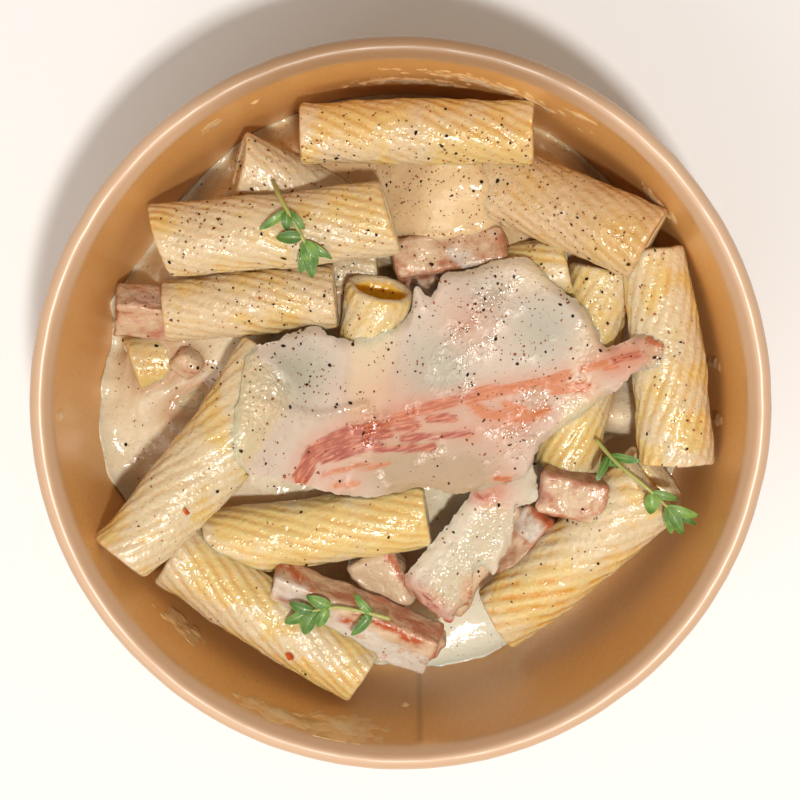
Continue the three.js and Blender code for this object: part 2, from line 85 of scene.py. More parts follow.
def bell(distance: float, spread: float) -> float:
    """Falls from 1 at no distance to about 0 at three spreads."""
    return math.exp(-(distance * distance) / (2 * spread * spread))


def heaped(heaps: Sequence[Heap], x: float, y: float) -> float:
    """Adds up round, soft-edged heaps at a point in plan."""
    return sum(most * bell(math.hypot(x - at_x, y - at_y), spread)
               for at_x, at_y, spread, most in heaps)


def neighbour_sum(cells: np.ndarray) -> np.ndarray:
    """Adds up the four neighbours of every cell, with nothing past the border."""
    held = np.pad(cells, 1)
    return held[2:, 1:-1] + held[:-2, 1:-1] + held[1:-1, 2:] + held[1:-1, :-2]


def rough(place: Vector, size: float, octaves: int = 3) -> float:
    """Random height, about -1 to 1, with features of the given size in millimetres."""
    return noise.fractal(place / size, 1.0, 2.0, octaves)


def pimples(place: Vector, size: float) -> float:
    """Round bumps, 0 to 1, about the given size apart in millimetres."""
    near = noise.voronoi(place / size)[0][0]
    return max(0.0, 1 - 1.6 * near * near)


def to_line(point: Plan, line: Sequence[Plan]) -> float:
    """Finds how far a point in plan is from a broken line.

    Args:
        point: the point.
        line: the corners of the line, at least two.

    Returns:
        The distance, in the unit of the corners.
    """
    best = math.inf
    for (ax, ay), (bx, by) in zip(line, line[1:]):
        dx, dy = bx - ax, by - ay
        share = ((point[0] - ax) * dx + (point[1] - ay) * dy) / (dx * dx + dy * dy)
        share = min(1.0, max(0.0, share))
        best = min(best, math.hypot(point[0] - ax - share * dx, point[1] - ay - share * dy))
    return best


def smooth_run(points: Sequence[Plan], steps: int, closed: bool) -> list[Vector]:
    """Runs a smooth curve through points in plan.

    Args:
        points: the points.
        steps: how many steps lie between two of them.
        closed: whether the curve comes back to its start.

    Returns:
        The points of the curve, at a height of 0.
    """
    corners = [Vector((x, y, 0)) for x, y in points]
    if closed:
        corners = [corners[-1], *corners, corners[0], corners[1]]
    else:
        corners = [2 * corners[0] - corners[1], *corners, 2 * corners[-1] - corners[-2]]
    run = []
    for a, b, c, d in zip(corners, corners[1:], corners[2:], corners[3:]):
        for i in range(steps):
            t = i / steps
            bow = (2 * a - 5 * b + 4 * c - d) * t * t + (3 * b - a - 3 * c + d) * t**3
            run.append((2 * b + (c - a) * t + bow) / 2)
    return run if closed else [*run, corners[-2]]


# ---- mesh making

Placed = tuple[Vector, dict[str, float]]  # a corner's place and its marks


def new_mesh(marks: Sequence[str] = ()) -> bmesh.types.BMesh:
    """Starts an empty mesh.

    Args:
        marks: the names of the values that each of its corners carries.

    Returns:
        The mesh.
    """
    mesh = bmesh.new()
    for mark in marks:
        mesh.verts.layers.float.new(mark)
    return mesh


def weave_sheet(
    mesh: bmesh.types.BMesh, columns: int, rows: int, place: Callable[[int, int], Placed]
) -> None:
    """Adds a grid and moves each of its corners to its place, then welds the seams.

    Args:
        mesh: the mesh that takes the grid, in millimetres.
        columns: how many faces across.
        rows: how many faces along.
        place: gives the place and the marks of the corner in a column and a row.
    """
    made = bmesh.ops.create_grid(mesh, x_segments=columns, y_segments=rows, size=0.5)["verts"]
    left = min(vert.co.x for vert in made)
    foot = min(vert.co.y for vert in made)
    wide = max(vert.co.x for vert in made) - left
    tall = max(vert.co.y for vert in made) - foot
    layers = mesh.verts.layers.float
    for vert in made:
        column = round((vert.co.x - left) / wide * columns)
        row = round((vert.co.y - foot) / tall * rows)
        spot, marks = place(column, row)
        vert.co = spot
        for mark, value in marks.items():
            vert[layers[mark]] = value
    bmesh.ops.remove_doubles(mesh, verts=made, dist=WELD)


def finish_piece(
    mesh: bmesh.types.BMesh,
    name: str,
    material: bpy.types.Material,
    nodes: Sequence[str] = (),
) -> bpy.types.Object:
    """Turns a mesh in millimetres into a piece of the dish that rides on the root body.

    Args:
        mesh: the finished mesh, which is freed.
        name: the piece's name.
        material: its finish.
        nodes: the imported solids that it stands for.

    Returns:
        The new object.
    """
    bmesh.ops.scale(mesh, vec=(MM, MM, MM), verts=mesh.verts)
    bmesh.ops.recalc_face_normals(mesh, faces=mesh.faces)
    data = bpy.data.meshes.new(name)
    mesh.to_mesh(data)
    mesh.free()
    data.polygons.foreach_set("use_smooth", [True] * len(data.polygons))
    data.materials.append(material)
    piece = bpy.data.objects.new(name, data)
    bpy.context.scene.collection.objects.link(piece)
    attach(piece, "root")
    if nodes:
        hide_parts(*nodes)
    LOG.info("%s: %d faces", name, len(data.polygons))
    return piece


class Ground:
    """The pieces laid so far, for finding what lies under a point, in millimetres."""

    def __init__(self) -> None:
        """Starts with nothing laid."""
        self.trees: list[tuple[BVHTree, tuple[float, float, float, float]]] = []

    def lay(self, piece: bpy.types.Object) -> None:
        """Adds a piece.

        Args:
            piece: an object at the origin whose mesh is in metres.
        """
        spots = [vert.co / MM for vert in piece.data.vertices]
        faces = [tuple(face.vertices) for face in piece.data.polygons]
        xs = [spot.x for spot in spots]
        ys = [spot.y for spot in spots]
        reach = (min(xs), max(xs), min(ys), max(ys))
        self.trees.append((BVHTree.FromPolygons(spots, faces), reach))

    def top(self, x: float, y: float) -> tuple[float, Vector]:
        """Finds the highest surface over a point in plan.

        Args:
            x: across.
            y: towards the back.

        Returns:
            Its height and its outward direction; a height of 0 where nothing lies.
        """
        height, facing = 0.0, Vector((0, 0, 1))
        for tree, (left, right, front, back) in self.trees:
            if not (left <= x <= right and front <= y <= back):
                continue
            spot, normal, _, _ = tree.ray_cast(Vector((x, y, 200)), Vector((0, 0, -1)))
            if spot is not None and spot.z > height:
                height, facing = spot.z, normal
        return height, facing

    def around(self, x: float, y: float, reach: float) -> float:
        """Finds the highest surface near a point in plan.

        Args:
            x: across.
            y: towards the back.
            reach: how far from the point its eight sides are read.

        Returns:
            The height.
        """
        ring = [(math.cos(i * math.pi / 4), math.sin(i * math.pi / 4)) for i in range(8)]
        sides = [self.top(x + reach * c, y + reach * s)[0] for c, s in ring]
        return max(self.top(x, y)[0], *sides)

    def gap(self, spot: Vector, reach: float) -> float:
        """Finds how far the nearest laid surface is.

        Args:
            spot: the point to measure from.
            reach: how far to look.

        Returns:
            The distance, or reach where nothing is nearer.
        """
        best = reach
        for tree, (left, right, front, back) in self.trees:
            if not (left - reach <= spot.x <= right + reach):
                continue
            if not (front - reach <= spot.y <= back + reach):
                continue
            near = tree.find_nearest(spot, best)
            if near[0] is not None:
                best = min(best, near[3])
        return best


# ---- finishes


class Shader:
    """Adds and joins the nodes of one shader tree."""

    def __init__(self, tree: bpy.types.NodeTree) -> None:
        """Works on a tree that is already there."""
        self.tree = tree

    def add(
        self, kind: str, inputs: dict[str | int, object] | None = None, **settings: object
    ) -> bpy.types.Node:
        """Adds a node.

        Args:
            kind: the node's type name.
            inputs: a value or an output socket for each input, by name or place.
            settings: the node's own settings.

        Returns:
            The new node.
        """
        node = self.tree.nodes.new(kind)
        for setting, value in settings.items():
            setattr(node, setting, value)
        for key, value in (inputs or {}).items():
            if isinstance(value, bpy.types.NodeSocket):
                self.tree.links.new(value, node.inputs[key])
            else:
                node.inputs[key].default_value = value
        return node

    def mark(self, name: str) -> bpy.types.NodeSocket:
        """The value of a mark that the mesh carries."""
        return self.add("ShaderNodeAttribute", attribute_name=name).outputs["Fac"]

    def place(self) -> bpy.types.NodeSocket:
        """The place on the object, in metres."""
        return self.add("ShaderNodeTexCoord").outputs["Object"]

    def calc(self, kind: str, *values: object) -> bpy.types.NodeSocket:
        """The result of a Math node on up to three values."""
        return self.add("ShaderNodeMath", dict(enumerate(values)), operation=kind).outputs[0]

    def span(self, value: object, low: float, high: float) -> bpy.types.NodeSocket:
        """Spreads a value over 0 to 1, smoothly.

        Args:
            value: the value.
            low: what becomes 0.
            high: what becomes 1.

        Returns:
            The spread value.
        """
        inputs = {"Value": value, "From Min": low, "From Max": high}
        node = self.add("ShaderNodeMapRange", inputs, interpolation_type="SMOOTHSTEP")
        return node.outputs["Result"]

    def blend(self, share: object, first: object, second: object) -> bpy.types.NodeSocket:
        """Mixes two colours."""
        inputs = {0: share, 6: first, 7: second}
        return self.add("ShaderNodeMix", inputs, data_type="RGBA").outputs[2]

    def noise_at(self, place: object, scale: object, detail: float) -> bpy.types.NodeSocket:
        """The value of a noise texture read at a place."""
        inputs = {"Vector": place, "Scale": scale, "Detail": detail}
        return self.add("ShaderNodeTexNoise", inputs).outputs[0]

    def speckle(
        self, size: float, detail: float = 3.0, at: object = None, stretch: Spot = (1, 1, 1)
    ) -> bpy.types.NodeSocket:
        """Makes a noise pattern.

        Args:
            size: the size of its features, in millimetres.
            detail: how many finer layers it has.
            at: where it is read; the object's own place if left out.
            stretch: the share of the scale along X, Y and Z.

        Returns:
            The pattern's value, 0 to 1.
        """
        inputs = {"Vector": at or self.place(), "Scale": stretch}
        mapped = self.add("ShaderNodeMapping", inputs).outputs[0]
        return self.noise_at(mapped, 1 / (size * MM), detail)


def group_nodes(
    name: str, inputs: dict[str, str], outputs: dict[str, str]
) -> tuple[bpy.types.NodeTree, Shader, bpy.types.Node, bpy.types.Node]:
    """Starts a shader node group.

    Args:
        name: the group's name.
        inputs: socket types by input name.
        outputs: socket types by output name.

    Returns:
        The group, a shader on it, and its input and output nodes.
    """
    tree = bpy.data.node_groups.new(name, "ShaderNodeTree")
    for socket, kind in inputs.items():
        tree.interface.new_socket(name=socket, in_out="INPUT", socket_type=kind)
    for socket, kind in outputs.items():
        tree.interface.new_socket(name=socket, in_out="OUTPUT", socket_type=kind)
    shader = Shader(tree)
    return tree, shader, shader.add("NodeGroupInput"), shader.add("NodeGroupOutput")


def wet_grain_group() -> bpy.types.NodeTree:
    """Makes the small lumps under a wet film, which give sauced food its sparkles.

    Returns:
        The group: size in millimetres and share of finer lumps go in, and height comes out.
    """
    kinds = {"Size": "NodeSocketFloat", "Fine": "NodeSocketFloat"}
    tree, shader, given, result = group_nodes("wet grain", kinds, {"Height": "NodeSocketFloat"})
    scale = shader.calc("DIVIDE", 1 / MM, given.outputs["Size"])
    place = shader.place()
    broad = shader.noise_at(place, scale, 1.0)
    small = shader.noise_at(place, shader.calc("MULTIPLY", scale, 2.6), 1.0)
    height = shader.calc("MULTIPLY_ADD", small, given.outputs["Fine"], broad)
    shader.tree.links.new(height, result.inputs["Height"])
    return tree


def cream_cover_group() -> bpy.types.NodeTree:
    """Lays a broken film of cream over a food's own colour.

    Returns:
        The group: the bare and the cream colour, how much cream there is and the size of its
        patches go in, and the colour and the film's mask come out.
    """
    kinds = {
        "Bare": "NodeSocketColor",
        "Cream": "NodeSocketColor",
        "Cover": "NodeSocketFloat",
        "Size": "NodeSocketFloat",
    }
    gives = {"Color": "NodeSocketColor", "Film": "NodeSocketFloat"}
    tree, shader, given, result = group_nodes("cream cover", kinds, gives)
    scale = shader.calc("DIVIDE", 1 / MM, given.outputs["Size"])
    patchy = shader.noise_at(shader.place(), scale, 4.0)
    broken = shader.calc("MULTIPLY_ADD", patchy, 0.9, -0.45)
    film = shader.span(shader.calc("ADD", given.outputs["Cover"], broken), 0.1, 0.9)
    colour = shader.blend(film, given.outputs["Bare"], given.outputs["Cream"])
    shader.tree.links.new(colour, result.inputs["Color"])
    shader.tree.links.new(film, result.inputs["Film"])
    return tree


@dataclass(frozen=True)
class Gloss:
    """The values of a surface that are the same all over it."""

    roughness: float = 0.4
    soft: float = 0.0  # share of light that goes in and comes out again
    soft_colour: Spot = (1.0, 0.55, 0.3)
    soft_depth: float = 1.5  # millimetres
    coat: float = 0.0
    coat_roughness: float = 0.12
    specular: float = 0.5
    relief: float = 0.3
    relief_height: float = 0.3  # millimetres

    def dress(
        self,
        shader: Shader,
        colour: bpy.types.NodeSocket,
        height: bpy.types.NodeSocket | None = None,
        roughness: bpy.types.NodeSocket | None = None,
    ) -> None:
        """Adds the surface shader and the output to a material's tree.

        Args:
            shader: the material's tree.
            colour: the base colour.
            height: the relief, if there is any.
            roughness: the roughness where it varies.
        """
        surface = shader.add(
            "ShaderNodeBsdfPrincipled",
            {
                "Base Color": colour,
                "Roughness": self.roughness,
                "Specular IOR Level": self.specular,
                "Subsurface Weight": self.soft,
                "Subsurface Radius": self.soft_colour,
                "Subsurface Scale": self.soft_depth * MM,
                "Coat Weight": self.coat,
                "Coat Roughness": self.coat_roughness,
            },
        )
        if roughness is not None:
            shader.tree.links.new(roughness, surface.inputs["Roughness"])
        if height is not None:
            inputs = {
                "Strength": self.relief,
                "Distance": self.relief_height * MM,
                "Height": height,
            }
            bump = shader.add("ShaderNodeBump", inputs)
            shader.tree.links.new(bump.outputs[0], surface.inputs["Normal"])
        shader.add("ShaderNodeOutputMaterial", {0: surface.outputs[0]})


class Finishes:
    """All the materials of the dish."""

    CREAM = "#d7c7a8"

    def __init__(self) -> None:
        """Makes the shared groups, then each material."""
        self.grain = wet_grain_group()
        self.cover = cream_cover_group()
        self.pasta = self.make_pasta()
        self.sauce = self.make_sauce()
        self.film = self.make_film()
        self.bacon = self.make_bacon("bacon", "#cfa386", "#b26b56")
        # the same bacon much darker: char and painted shade, for the piece that lies in shade
        self.bacon_browned = self.make_bacon("bacon charred and shaded", "#8a7568", "#4a342c")
        self.slice = self.make_slice()
        self.kraft = self.make_kraft()
        self.leaf = self.make_leaf()
        self.black_pepper = self.make_grain("black pepper", "#20130c", "#46301f")
        self.brown_pepper = self.make_grain("brown pepper", "#7a3d1e", "#a9683a")
        self.chilli = self.make_grain("chilli", "#a8431d", "#c9682c")

    @staticmethod
    def start(name: str) -> tuple[bpy.types.Material, Shader]:
        """Starts an empty material with nodes.

        Args:
            name: the material's name.

        Returns:
            The material and a shader on its tree.
        """
        material = bpy.data.materials.new(name)
        material.use_nodes = True
        material.node_tree.nodes.clear()
        return material, Shader(material.node_tree)

    def grained(self, shader: Shader, size: float, fine: float) -> bpy.types.NodeSocket:
        """Places the wet grain group and gives its height."""
        inputs = {"Size": size, "Fine": fine}
        return shader.add("ShaderNodeGroup", inputs, node_tree=self.grain).outputs["Height"]

    def covered(
        self, shader: Shader, bare: object, cream: str, cover: object, size: float
    ) -> bpy.types.Node:
        """Places the cream cover group."""
        inputs = {"Bare": bare, "Cream": tint(cream), "Cover": cover, "Size": size}
        return shader.add("ShaderNodeGroup", inputs, node_tree=self.cover)

    def make_pasta(self) -> bpy.types.Material:
        """Cooked pasta: yellow, deeper in the grooves, under cream; painted orange shade on the
        sides that face down, a painted glow in the bore and painted shade over whole tubes.

        Returns:
            The material.
        """
        material, shader = self.start("pasta")
        yellow = shader.blend(shader.speckle(5.0), tint("#dacb9a"), tint("#dcc078"))
        # groove and amber carry the grooves' own deeper colour, and painted orange shade on the
        # sides that face down and in the grooves
        grooved = shader.blend(shader.mark("groove"), yellow, tint("#d8b36c"))
        deep = shader.blend(shader.mark("amber"), grooved, tint("#d4942e"))
        # painted glow: the bore is coloured a bright orange-yellow, for light that shines through
        # the pasta's wall
        bare = shader.blend(shader.mark("inside"), deep, tint("#ffc220"))
        cover = self.covered(shader, bare, self.CREAM, shader.mark("cream"), 2.2)
        film = cover.outputs["Film"]
        # painted shade: tubes that lie in shade are darkened all over towards a dull brown
        shade_darkened = shader.blend(shader.mark("tone_and_shade"), cover.outputs["Color"], tint("#bb8c50"))
        wet = shader.calc("MULTIPLY_ADD", shader.speckle(1.6), 0.26, 0.06)
        height = self.grained(shader, 1.1, 0.15)
        gloss = Gloss(soft=0.8, soft_colour=(1.0, 0.58, 0.32), soft_depth=1.9, coat=0.12,
                      coat_roughness=0.1, relief=0.7, relief_height=0.45)
        gloss.dress(shader, shade_darkened, height, shader.calc("MULTIPLY_ADD", film, 0.1, wet))
        return material

    def make_sauce(self) -> bpy.types.Material:
        """Smooth cream sauce with a wet skin, darker and yellower towards the back, with painted
        shade beside the pieces and a painted pool of light at the front.

        Returns:
            The material.
        """
        material, shader = self.start("cream sauce")
        colour = shader.blend(shader.speckle(9.0), tint("#e6dfc9"), tint("#e1d4b6"))
        warmed = shader.blend(shader.mark("warm"), colour, tint("#d8b988"))
        # painted light: the pool at the front is whitened as if lit
        pool_lit = shader.blend(shader.mark("lit_pool"), warmed, tint("#f1f2e2"))
        # painted shade: the sauce beside the pieces is darkened towards brown
        crevice_shaded = shader.blend(shader.mark("crevice_shade"), pool_lit, tint("#ad7238"))
        flecks = shader.span(shader.speckle(0.7, 2.0), 0.64, 0.74)
        flecked = shader.blend(flecks, crevice_shaded, tint("#cfae88"))
        gloss = Gloss(roughness=0.18, soft=0.5, soft_colour=(1.0, 0.62, 0.38), soft_depth=2.0,
                      coat=0.25, coat_roughness=0.12, relief=0.55, relief_height=0.36)
        gloss.dress(shader, flecked, self.grained(shader, 1.5, 0.3))
        return material

    def make_film(self) -> bpy.types.Material:
        """A thin smear of sauce through which the paper shows, paler where it is thick.

        Returns:
            The material.
        """
        material, shader = self.start("sauce film")
        thin = shader.blend(shader.speckle(3.0), tint("#e5b57a"), tint("#eabf88"))
        thick = shader.span(shader.mark("thick"), 0.15, 0.75)
        colour = shader.blend(thick, thin, tint("#e8d0a9"))
        gloss = Gloss(roughness=0.4, soft=0.3, soft_colour=(1.0, 0.6, 0.35), soft_depth=1.0,
                      coat=0.3, coat_roughness=0.15, relief=0.4, relief_height=0.2)
        gloss.dress(shader, colour, self.grained(shader, 1.0, 0.8))
        return material

    def make_bacon(self, name: str, fat: str, lean: str) -> bpy.types.Material:
        """Bacon in lean and fat bands, seared along its edges, browned and darkened with painted
        shade, under patches of cream with a painted sheen.

        Args:
            name: the material's name.
            fat: the colour of the fat.
            lean: the colour of the lean.

        Returns:
            The material.
        """
        material, shader = self.start(name)
        fibres = shader.speckle(1.2, 4.0)
        banded = shader.calc("MULTIPLY_ADD", fibres, 0.5, shader.mark("lean"))
        meat = shader.blend(shader.span(banded, 0.5, 0.95), tint(fat), tint(lean))
        seared = shader.calc("MULTIPLY", shader.mark("edge"), shader.span(fibres, 0.3, 0.62))
        # tone darkens towards brown: partly browning, partly painted shade
        browned_and_shaded = shader.blend(shader.mark("tone_and_shade"), meat, tint("#a0714f"))
        bare = shader.blend(shader.calc("MULTIPLY", seared, 0.9), browned_and_shaded, tint("#b04a26"))
        cover = self.covered(shader, bare, "#cfb79a", shader.mark("cream"), 2.0)
        dulled = shader.blend(shader.mark("dull"), cover.outputs["Color"], tint("#8c5540"))
        # frost whitens patches: partly a film of cream, partly a painted sheen where light falls on
        # the faces
        patchy = shader.span(shader.speckle(2.2), 0.25, 0.5)
        cream_and_sheen = shader.calc("MULTIPLY", shader.mark("cream_and_sheen"), patchy)
        with_cream_and_sheen = shader.blend(cream_and_sheen, dulled, tint("#ccc3b8"))
        crust = shader.calc("MULTIPLY", shader.mark("sear"), shader.span(fibres, 0.3, 0.5))
        painted = shader.blend(crust, with_cream_and_sheen, tint("#b2522b"))
        gloss = Gloss(roughness=0.24, soft=0.35, soft_colour=(1.0, 0.4, 0.28), soft_depth=1.0,
                      coat=0.06, coat_roughness=0.16, relief=0.7, relief_height=0.4)
        gloss.dress(shader, painted, self.grained(shader, 1.1, 0.2))
        return material

    def make_slice(self) -> bpy.types.Material:
        """A thin cured slice: translucent fat with red and orange lean streaks, greyed and darkened
        in places with painted shade.

        Returns:
            The material.
        """
        material, shader = self.start("cured slice")
        clear = shader.blend(shader.speckle(7.0, 2.0), tint("#c7b9ae"), tint("#ccbcab"))
        warmed = shader.blend(shader.mark("touch"), clear, tint("#d3c0a0"))
        # painted shade: grey where the slice hangs over dark hollows
        hollow_shaded = shader.blend(shader.mark("hollow_shade"), warmed, tint("#adaa9c"))
        pinked = shader.blend(shader.mark("pink"), hollow_shaded, tint("#c6927b"))
        # painted shade: dull darkens part of the slice's front
        dulled = shader.blend(shader.mark("dull"), pinked, tint("#ae9679"))
        milk = shader.blend(shader.speckle(4.0), tint("#cfc9ba"), tint("#cabfa6"))
        creamed = shader.blend(shader.mark("cream"), dulled, milk)
        along = shader.calc("MULTIPLY", shader.mark("run"), 0.16)
        flow = shader.add("ShaderNodeCombineXYZ", {0: along, 1: shader.mark("off")}).outputs[0]
        fibres = shader.noise_at(flow, 1.1, 3.0)
        threads = shader.noise_at(flow, 1.8, 3.0)
        body = shader.calc("MULTIPLY_ADD", fibres, 2.0, -1.0)
        fibrous = shader.span(shader.calc("ADD", body, shader.mark("lean")), 0.14, 0.84)
        lean = shader.calc("MULTIPLY", fibrous, shader.span(shader.mark("lean"), 0.02, 0.3))
        hue = shader.blend(shader.mark("orange"), tint("#9a2f15"), tint("#c47640"))
        fibred = shader.blend(shader.span(threads, 0.42, 0.72), hue, tint("#ce8562"))
        colour = shader.blend(shader.calc("MULTIPLY", lean, 0.9), creamed, fibred)
        gloss = Gloss(soft=0.6, soft_colour=(1.0, 0.6, 0.4), soft_depth=1.2, relief=0.75,
                      relief_height=0.5)
        beads = shader.mark("beads")
        lumps = shader.calc("MULTIPLY_ADD", beads, 1.5, 0.15)
        roughness = shader.calc("MULTIPLY_ADD", shader.span(beads, 0.05, 0.6), -0.46, 0.55)
        height = shader.calc("MULTIPLY", self.grained(shader, 1.1, 0.15), lumps)
        gloss.dress(shader, colour, height, roughness)
        return material

    def make_kraft(self) -> bpy.types.Material:
        """Brown kraft paper with a clear coat, its fibres and its seam line; its rolled rim is
        paler, partly a painted highlight, and darker at the back with painted shade.

        Returns:
            The material.
        """
        material, shader = self.start("kraft paper")
        place = shader.place()
        cloud = shader.blend(shader.speckle(14.0, 2.0, place), tint("#e6ae69"), tint("#dda460"))
        fibre = shader.span(shader.speckle(0.5, 3.0, place, (1.0, 1.0, 0.25)), 0.35, 0.75)
        paper = shader.blend(shader.calc("MULTIPLY", fibre, 0.28), cloud, tint("#f2c37e"))
        fleck = shader.span(shader.speckle(1.5, 2.0, place), 0.68, 0.76)
        flecked = shader.blend(shader.calc("MULTIPLY", fleck, 0.3), paper, tint("#99643a"))
        lined = shader.blend(shader.mark("seam"), flecked, tint("#a5713f"))
        # the rolled rim: paler than the wall, partly a painted highlight, and darker at the back
        # with painted shade
        bead = shader.blend(shader.mark("back"), tint("#ccab8e"), tint("#9f7c5c"))
        rimmed = shader.blend(shader.mark("rim"), lined, bead)
        gloss = Gloss(roughness=0.42, coat=0.35, coat_roughness=0.25, relief=0.25,
                      relief_height=0.12)
        gloss.dress(shader, rimmed, shader.speckle(0.6, 3.0, place))
        return material

    def make_leaf(self) -> bpy.types.Material:
        """Fresh thyme: mid green blades with paler midribs on yellow-green stems.

        Returns:
            The material.
        """
        material, shader = self.start("thyme")
        blade = shader.blend(shader.span(shader.speckle(2.2, 3.0), 0.35, 0.65),
                             tint("#4b7a2c"), tint("#7a9f45"))
        # painted shade: some leaves are coloured a deeper green
        deep = shader.blend(shader.mark("deep"), blade, tint("#2f5d1c"))
        # the pale border: the leaf's paler margin with a painted highlight along it
        edged = shader.blend(shader.mark("border"), deep, tint("#86a852"))
        ribbed = shader.blend(shader.mark("rib"), edged, tint("#9dba66"))
        stemmed = shader.blend(shader.mark("stem"), ribbed, tint("#a9ad62"))
        gloss = Gloss(roughness=0.45, soft=0.12, soft_colour=(0.5, 1.0, 0.2), soft_depth=0.5,
                      coat=0.15, relief=0.5, relief_height=0.12)
        gloss.dress(shader, stemmed, shader.speckle(0.35, 2.0))
        return material

    def make_grain(self, name: str, dark: str, light: str) -> bpy.types.Material:
        """A ground spice of two colours.

        Args:
            name: the material's name.
            dark: the colour of its dark flecks.
            light: the colour of its light ones.

        Returns:
            The material.
        """
        material, shader = self.start(name)
        cloud = shader.span(shader.speckle(1.0, 2.0), 0.4, 0.65)
        colour = shader.blend(cloud, tint(dark), tint(light))
        gloss = Gloss(roughness=0.7, specular=0.15, relief=0.3, relief_height=0.1)
        gloss.dress(shader, colour, shader.speckle(0.2))
        return material


# ---- bowl


@dataclass
class KraftBowl:
    """The tapered paper bowl with its rolled rim; lengths in millimetres."""

    rim_radius: float = 75.0
    height: float = 60.0
    bead_radius: float = 2.0
    base_radius: float = 63.0
    wall: float = 0.9
    ring_width: float = 1.8
    floor_top: float = 6.4
    floor_thickness: float = 1.0
    ring_edge: float = 0.3  # the ring's small bevels
    fold: Plan = (0.8, 0.6)  # where the floor folds up into the wall: in, and up
    bead_from: float = -115.0  # degrees from outwards, where the rolled rim leaves the wall
    bead_turn: float = 235.0
    bead_steps: int = 22
    under_bead_steps: int = 5
    outside_steps: int = 12
    inside_steps: int = 27
    steps: int = 420  # round the bowl
    rim_band: Plan = (5.0, 2.2)  # under the top, where the rim's look begins and is full
    seam_at: float = -86.8  # degrees
    seam_step: float = 0.35
    seam_slope: float = 0.012  # radians over which the lap steps up
    seam_lap: float = 0.16  # radians that the lap is wide
    seam_line: float = 0.0035  # radians that its dark line spreads

    def inside(self, height: float) -> float:
        """Finds the inside radius of the wall.

        Args:
            height: where it is read.

        Returns:
            The radius.
        """
        wall_top = self.rim_radius - 2 * self.bead_radius + self.wall / 2
        slope = (wall_top - self.base_radius) / (self.height - self.bead_radius)
        return self.base_radius - self.wall + slope * height

    def profile(self) -> list[Plan]:
        """Draws the section from under the floor's middle, round the rim, to the middle above.

        Returns:
            Radius and height of each corner.
        """
        floor_low = self.floor_top - self.floor_thickness
        ring_in = self.base_radius - self.ring_width
        edge = self.ring_edge
        section = [(0.0, floor_low), (ring_in, floor_low), (ring_in, edge), (ring_in + edge, 0.0)]
        section += [(self.base_radius - edge, 0.0), (self.base_radius, edge)]
        bead_r = self.rim_radius - self.bead_radius
        bead_z = self.height - self.bead_radius
        under = bead_z - self.bead_radius
        for i in range(1, self.outside_steps + 1):
            z = under * i / self.outside_steps
            section.append((self.inside(z) + self.wall, z))
        for i in range(self.bead_steps + 1):
            angle = math.radians(self.bead_from + self.bead_turn * i / self.bead_steps)
            r = bead_r + self.bead_radius * math.cos(angle)
            section.append((r, bead_z + self.bead_radius * math.sin(angle)))
        start = section[-1]
        for i in range(1, self.under_bead_steps):
            share = i / self.under_bead_steps
            z = lerp(start[1], under, share)
            r = lerp(start[0], self.inside(z), ease(0, 1, share ** 0.6))
            section.append((r, z))
        fold_in, fold_up = self.fold
        for i in range(self.inside_steps + 1):
            z = lerp(under, self.floor_top + fold_up, i / self.inside_steps)
            section.append((self.inside(z), z))
        section.append((self.inside(self.floor_top) - fold_in, self.floor_top))
        section.append((0.0, self.floor_top))
        return section

    def build(self, finishes: Finishes) -> bpy.types.Object:
        """Turns the section round the axis and gives the paper its seam and its uneven rim.

        Args:
            finishes: the materials.

        Returns:
            The bowl.
        """
        mesh = new_mesh(("rim", "back", "seam"))
        corners = [mesh.verts.new((r, 0.0, z)) for r, z in self.profile()]
        edges = [mesh.edges.new(pair) for pair in zip(corners, corners[1:])]
        bmesh.ops.spin(mesh, geom=corners + edges, cent=(0, 0, 0), axis=(0, 0, 1),
                       angle=math.tau, steps=self.steps, use_merge=True)
        bmesh.ops.remove_doubles(mesh, verts=mesh.verts, dist=WELD)
        layers = mesh.verts.layers.float
        rim_from, rim_full = (self.height - below for below in self.rim_band)
        seam_angle = math.radians(self.seam_at)
        for vert in mesh.verts:
            radius = math.hypot(vert.co.x, vert.co.y)
            if radius < 1:
                continue
            high = ease(rim_from, rim_full, vert.co.z)
            around = Vector((vert.co.x, vert.co.y, 0)).normalized()
            turn = (math.atan2(vert.co.y, vert.co.x) - seam_angle + math.pi) % math.tau - math.pi
            inner = radius < self.inside(vert.co.z) + 0.3 and vert.co.z > self.floor_top
            lap = ease(-self.seam_slope, self.seam_slope, turn) * ease(self.seam_lap, 0.0, turn)
            wave = 0.12 * rough(around * 30, 9.0, 2)
            crumple = 0.1 + 0.18 * abs(rough(around * 75, 11.0, 2))
            dip = 0.25 * abs(rough(around * 75, 17.0, 2))
            shift = -self.seam_step * lap * (1 - high) if inner else 0.0
            shift += wave * (1 - high)
            shift -= high * crumple
            vert.co.x += around.x * shift
            vert.co.y += around.y * shift
            vert.co.z -= high * dip
            vert[layers["rim"]] = high
            # painted shade: back darkens the rim's colour at the back of the bowl
            vert[layers["back"]] = ease(0.75, 1.0, around.y)
            vert[layers["seam"]] = bell(turn, self.seam_line) * (1 - high) if inner else 0.0
        return finish_piece(mesh, "kraft_bowl", finishes.kraft, ["bowl"])


# ---- rigatoni


USUAL_RIDGE = 0.3  # millimetres


@dataclass(frozen=True)
class Spread:
    """A soft-edged place on a tube: share of its length, degrees round it, size and strength."""

    along: float
    turn: float
    size: float
    strength: float = 1.0


@dataclass(frozen=True)
class Skin:
    """What the outside of a tube is like at a point, each a share from 0 to 1."""

    groove: float
    fade: float
    bare: float
    # low: how far the point faces down; it carries painted shade
    low: float
    cream: float


